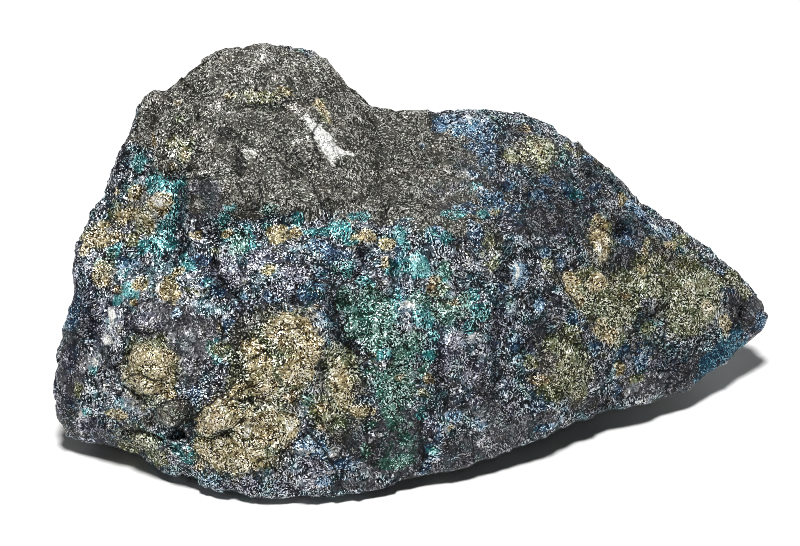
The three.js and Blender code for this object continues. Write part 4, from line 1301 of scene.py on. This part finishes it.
@dataclass(frozen=True)
class OreFinish:
    """The granular finish that covers the whole lump.

    Sizes are in metres, a crack's distances in millimetres. A range gives the values between which
    something changes and what it changes from and to. A weight says how much a pattern adds to the
    tone, which is at its middle for a middling fleck. Its colour also carries painted shade along
    cracks, hairlines and hollows, and its brightest flecks are partly painted glints.
    """

    fleck: float = 0.135 * MM
    grain: float = 0.62 * MM
    cluster: float = 1.7 * MM
    sheaf: float = 2.2 * MM
    sheaf_turn: float = 6.0
    stretch: float = 0.5
    film: float = 2.1 * MM
    stir: float = 0.30 * MM
    stir_size: float = 0.8 * MM
    mottle: float = 1.2 * MM
    sparkle: float = 1.6 * MM
    sparkle_range: Range = (0.38, 0.62, 0.35, 1.3)
    grain_range: Range = (0.0, 1.0, 0.45, 1.55)
    slate_and_shade_calm: float = 0.45
    glaze_calm: float = 0.6
    block: float = 2.4 * MM
    broken: float = 3.6 * MM
    broken_range: Range = (0.42, 0.60, 0.0, 1.0)
    # Painted shade along fine hairlines and along the cracks
    hairline_width: float = 0.11 * MM
    hairline_shade: float = 0.5
    crack_shade_range: Range = (0.03, 0.22, 0.10, 1.0)
    middle: float = 0.5
    middling: float = 0.6
    extreme: float = 1.9
    fleck_weight: float = 2.1
    grain_weight: float = 0.16
    mottle_weight: float = 0.5
    hairline_weight: float = 0.45
    # Painted shade: how much dips and hollows darken the tone
    dip_weight: float = 0.06
    hollow_weight: float = 0.07
    rim_range: Range = (0.30, 0.75, 0.03, -0.07)
    # How the brightest flecks, partly painted glints, reach white
    brightest: float = 1.1
    glint: float = 1.3
    gain: float = 0.87
    gamma: float = 2.2
    roughness: float = 0.52
    polish: float = 0.14
    grit: float = 0.5 * MM
    grit_depth: float = 0.30 * MM
    grit_strength: float = 0.9
    fleck_lean: float = 0.7
    grain_lean: float = 0.22

    def material(self) -> bpy.types.Material:
        """Builds the material.

        Returns:
            A node material that reads Object coordinates and the lump's stored numbers.
        """
        material = bpy.data.materials.new("tarnished ore")
        material.use_nodes = True
        graph = Graph(material.node_tree)
        place = graph.node("ShaderNodeTexCoord", {}, {}, "Object")
        jitter = graph.clouds(place, self.stir_size, detail=2.0, output="Color")
        jitter = graph.vector("SUBTRACT", jitter, GREY)
        stirred = graph.vector("ADD", place, graph.scaled(jitter, self.stir))
        fleck = graph.cells(self.drawn(graph, stirred), 1.0 / self.fleck, "Color")
        grain = graph.cells(stirred, 1.0 / self.grain)
        cluster = graph.cells(stirred, 1.0 / self.cluster, "Color")
        rolls = graph.parts(grain.other("Color"))
        # Painted shade in fine hairline cracks; it darkens the tone and the colour
        hairline_shade_mask = self.shaded_hairlines(graph, place, stirred)
        lively = graph.clouds(place, self.sparkle, detail=2.0).between(*self.sparkle_range)
        lively = lively * rolls[1].between(*self.grain_range)
        lively = lively * (1.0 - self.slate_and_shade_calm * graph.stored(Mineral.SLATE_AND_SHADE.value))
        tone = self.tone(graph, place, graph.parts(fleck), lively) - hairline_shade_mask * self.hairline_weight
        tone = tone + (rolls[0] - MEAN) * self.grain_weight + grain.between(*self.rim_range)
        *looks, metal = Layering().looks(graph, place, rolls[2], graph.parts(cluster)[2])
        colour = self.colour(graph, place, looks, tone)
        # Painted shade: darker along the cracks and the fine hairlines
        gap = abs(graph.stored("crack")).between(*self.crack_shade_range)
        shade = gap * (1.0 - hairline_shade_mask * self.hairline_shade) * self.gain
        lean = graph.vector(
            "ADD",
            graph.scaled(graph.vector("SUBTRACT", fleck, GREY), lively * self.fleck_lean),
            graph.scaled(graph.vector("SUBTRACT", grain.other("Color"), GREY), self.grain_lean),
        )
        inputs = {
            "Base Color": graph.scaled(colour, shade),
            "Metallic": metal,
            "Roughness": self.roughness - tone.ramp(self.middle, 1.0) * self.polish,
            "Normal": self.facing(graph, place, lean),
        }
        shader = graph.node("ShaderNodeBsdfPrincipled", {}, inputs)
        graph.node("ShaderNodeOutputMaterial", {}, {"Surface": shader})
        return material

    def drawn(self, graph: Graph, stirred: Sock) -> Sock:
        """Turns each sheaf of flecks its own way and draws the flecks out along it.

        Args:
            graph: The material's graph.
            stirred: Slightly stirred coordinates.

        Returns:
            The coordinates for the flecks.
        """
        sheaf = graph.cells(stirred, 1.0 / self.sheaf, "Color")
        inputs = {"Vector": stirred, "Rotation": graph.scaled(sheaf, self.sheaf_turn)}
        turned = graph.node("ShaderNodeVectorRotate", {"rotation_type": "EULER_XYZ"}, inputs)
        return graph.vector("MULTIPLY", turned, (1.0, self.stretch, 1.0))

    def shaded_hairlines(self, graph: Graph, place: Sock, stirred: Sock) -> Sock:
        """Paints shade as dark fine cracks round small blocks, in some places only.

        Args:
            graph: The material's graph.
            place: Object coordinates.
            stirred: The same, slightly stirred.

        Returns:
            1 in the middle of a crack, 0 beside it.
        """
        wall = graph.cells(stirred, 1.0 / self.block, "Distance", "DISTANCE_TO_EDGE")
        broken = graph.clouds(place, self.broken, detail=2.0).between(*self.broken_range)
        return (wall * self.block).between(0.0, self.hairline_width, 1.0, 0.0) * broken

    def tone(self, graph: Graph, place: Sock, rolls: tuple[Sock, ...], lively: Sock) -> Sock:
        """Spreads the flecks from dark to bright, most of them about the middle.

        Args:
            graph: The material's graph.
            place: Object coordinates.
            rolls: Chance values that are the same all over one fleck.
            lively: How far the flecks may differ.

        Returns:
            The tone that flecks, mottles and hollows give; the hollows darken it as painted shade.
        """
        spread = rolls[0] + rolls[1] - 1.0
        spread = spread * (self.middling + spread * spread * self.extreme)
        mottle = (graph.clouds(place, self.mottle, detail=5.0) - MEAN) * self.mottle_weight
        # Painted shade: darker in dips and hollows
        hollow_shade = graph.stored("dip") * self.dip_weight + graph.stored("hollow") * self.hollow_weight
        return self.middle + spread * lively * self.fleck_weight + mottle - hollow_shade

    def colour(self, graph: Graph, place: Sock, looks: tuple[Sock, ...], tone: Sock) -> Sock:
        """Finds a fleck's colour from its tone, its mineral and the play of the tarnish film.

        Args:
            graph: The material's graph.
            place: Object coordinates.
            looks: The mineral's three levels as one colour, its cast and its share of the play.
            tone: The fleck's tone.

        Returns:
            The linear colour.
        """
        levels, cast, play = looks
        low, centre, high = graph.parts(levels)
        # Painted glints: the brightest flecks are pushed towards white
        bright = tone.ramp(self.middle, self.brightest) ** self.glint
        level = low + (centre - low) * tone.ramp(0.0, self.middle) + (high - centre) * bright
        stops = [(where, about_grey(shade)) for where, shade in FILM]
        drift = graph.clouds(place, self.film, detail=3.0)
        film = graph.node("ShaderNodeValToRGB", {"stops": stops}, {0: drift})
        wander = graph.scaled(graph.vector("SUBTRACT", film, about_grey(GROUND.cast)), play)
        shown = graph.vector("ADD", graph.vector("SUBTRACT", cast, GREY), wander)
        shown = graph.vector("ADD", shown, graph.scaled(WHITE, level))
        shown = graph.vector("MAXIMUM", shown, BLACK)
        return graph.node("ShaderNodeGamma", {}, {0: shown, "Gamma": self.gamma})

    def facing(self, graph: Graph, place: Sock, lean: Sock) -> Sock:
        """Turns each fleck and grain a little its own way, less under a glaze.

        Args:
            graph: The material's graph.
            place: Object coordinates.
            lean: How the flecks and grains lean.

        Returns:
            The shading normal.
        """
        inputs = {
            "Strength": self.grit_strength,
            "Distance": self.grit_depth,
            "Height": graph.clouds(place, self.grit, detail=4.0),
        }
        bump = graph.node("ShaderNodeBump", {}, inputs)
        calm = 1.0 - self.glaze_calm * graph.stored(Mineral.GLAZE.value)
        return graph.vector("NORMALIZE", graph.vector("ADD", bump, graph.scaled(lean, calm)))


# ------------------------------------------------------------------ the studio


@dataclass(frozen=True)
class Lamp:
    """One soft lamp of the studio."""

    name: str
    place: Triple
    size: float
    watts: float


LAMPS: tuple[Lamp, ...] = (
    Lamp("key", (-0.07, -0.38, 2.20), 0.45, 57.0),
    Lamp("front", (-0.30, -1.80, 1.20), 1.00, 0.2),
)


@dataclass(frozen=True)
class Studio:
    """A pale table under two soft lamps, in a dim room with a bright wall behind the lump.

    The haze and the wall's top are heights of a direction, 0 level and 1 straight up. The wall
    stands in its own way, across and ahead, and begins where a direction is that much in it.
    """

    table: float = 3.0
    pale: Triple = (0.92, 0.92, 0.91)
    dullness: float = 0.9
    aim: Triple = (0.0, 0.0, 0.02)
    room: float = 0.003
    horizon: float = 0.70
    haze: tuple[float, float] = (0.02, 0.10)
    wall: float = 1.8
    wall_way: tuple[float, float] = (0.40, 0.92)
    wall_edge: float = 0.50
    wall_top: tuple[float, float] = (0.35, 0.70)
    film_blur: float = 0.8

    def floor(self) -> bpy.types.Object:
        """Makes the table top.

        Returns:
            A flat sheet at the height that the lump rests on.
        """
        half = self.table / 2
        mesh = bpy.data.meshes.new("table")
        corners = [(-half, -half, 0.0), (half, -half, 0.0), (half, half, 0.0), (-half, half, 0.0)]
        mesh.from_pydata(corners, [], [(0, 1, 2, 3)])
        table = bpy.data.objects.new("table", mesh)
        bpy.context.scene.collection.objects.link(table)
        material = bpy.data.materials.new("pale table")
        material.use_nodes = True
        graph = Graph(material.node_tree)
        inputs = {"Base Color": (*self.pale, 1.0), "Roughness": self.dullness}
        surface = graph.node("ShaderNodeBsdfPrincipled", {}, inputs)
        graph.node("ShaderNodeOutputMaterial", {}, {"Surface": surface})
        mesh.materials.append(material)
        return table

    def light(self, lamp: Lamp) -> bpy.types.Object:
        """Adds one lamp, turned towards the lump.

        Args:
            lamp: Where it hangs and how strong it is.

        Returns:
            The light.
        """
        data = bpy.data.lights.new(lamp.name, "AREA")
        data.shape = "DISK"
        data.size = lamp.size
        data.energy = lamp.watts
        light = bpy.data.objects.new(lamp.name, data)
        place = Vector(lamp.place)
        facing = (Vector(self.aim) - place).to_track_quat("-Z", "Y")
        light.matrix_world = Matrix.Translation(place) @ facing.to_matrix().to_4x4()
        bpy.context.scene.collection.objects.link(light)
        return light

    def surroundings(self) -> bpy.types.World:
        """Makes the room: dim above, hazy at the horizon, with the bright wall behind.

        Returns:
            The world.
        """
        world = bpy.data.worlds.new("room")
        world.use_nodes = True
        graph = Graph(world.node_tree)
        across, ahead, up = graph.parts(graph.node("ShaderNodeTexCoord", {}, {}, "Generated"))
        behind = across * self.wall_way[0] + ahead * self.wall_way[1]
        wall = behind.between(self.wall_edge, 1.0, 0.0, self.wall) * up.between(*self.wall_top, 1.0, 0.0)
        haze = up.between(*self.haze, self.horizon, self.room)
        strength = haze + wall * up.between(0.0, self.haze[1])
        glow = graph.node("ShaderNodeBackground", {}, {"Color": (*WHITE, 1.0), "Strength": strength})
        graph.node("ShaderNodeOutputWorld", {}, {"Surface": glow})
        return world

    def build(self) -> None:
        """Sets up the table, the lamps, the room and how their light is shown."""
        self.floor()
        for lamp in LAMPS:
            self.light(lamp)
        scene = bpy.context.scene
        scene.world = self.surroundings()
        scene.view_settings.view_transform = "Standard"
        scene.cycles.filter_width = self.film_blur
        scene.cycles.denoising_prefilter = "NONE"
        LOG.info("table, %d lamps and room", len(LAMPS))


def main() -> None:
    """Builds the studio and the lump."""
    logging.basicConfig(level=logging.INFO, format="%(name)s: %(message)s")
    view = View()
    view.camera()
    Studio().build()
    ore = Lump(view).build()
    LOG.info("%s rides on %s", ore.name, BODY)


if __name__ == "__main__":
    main()
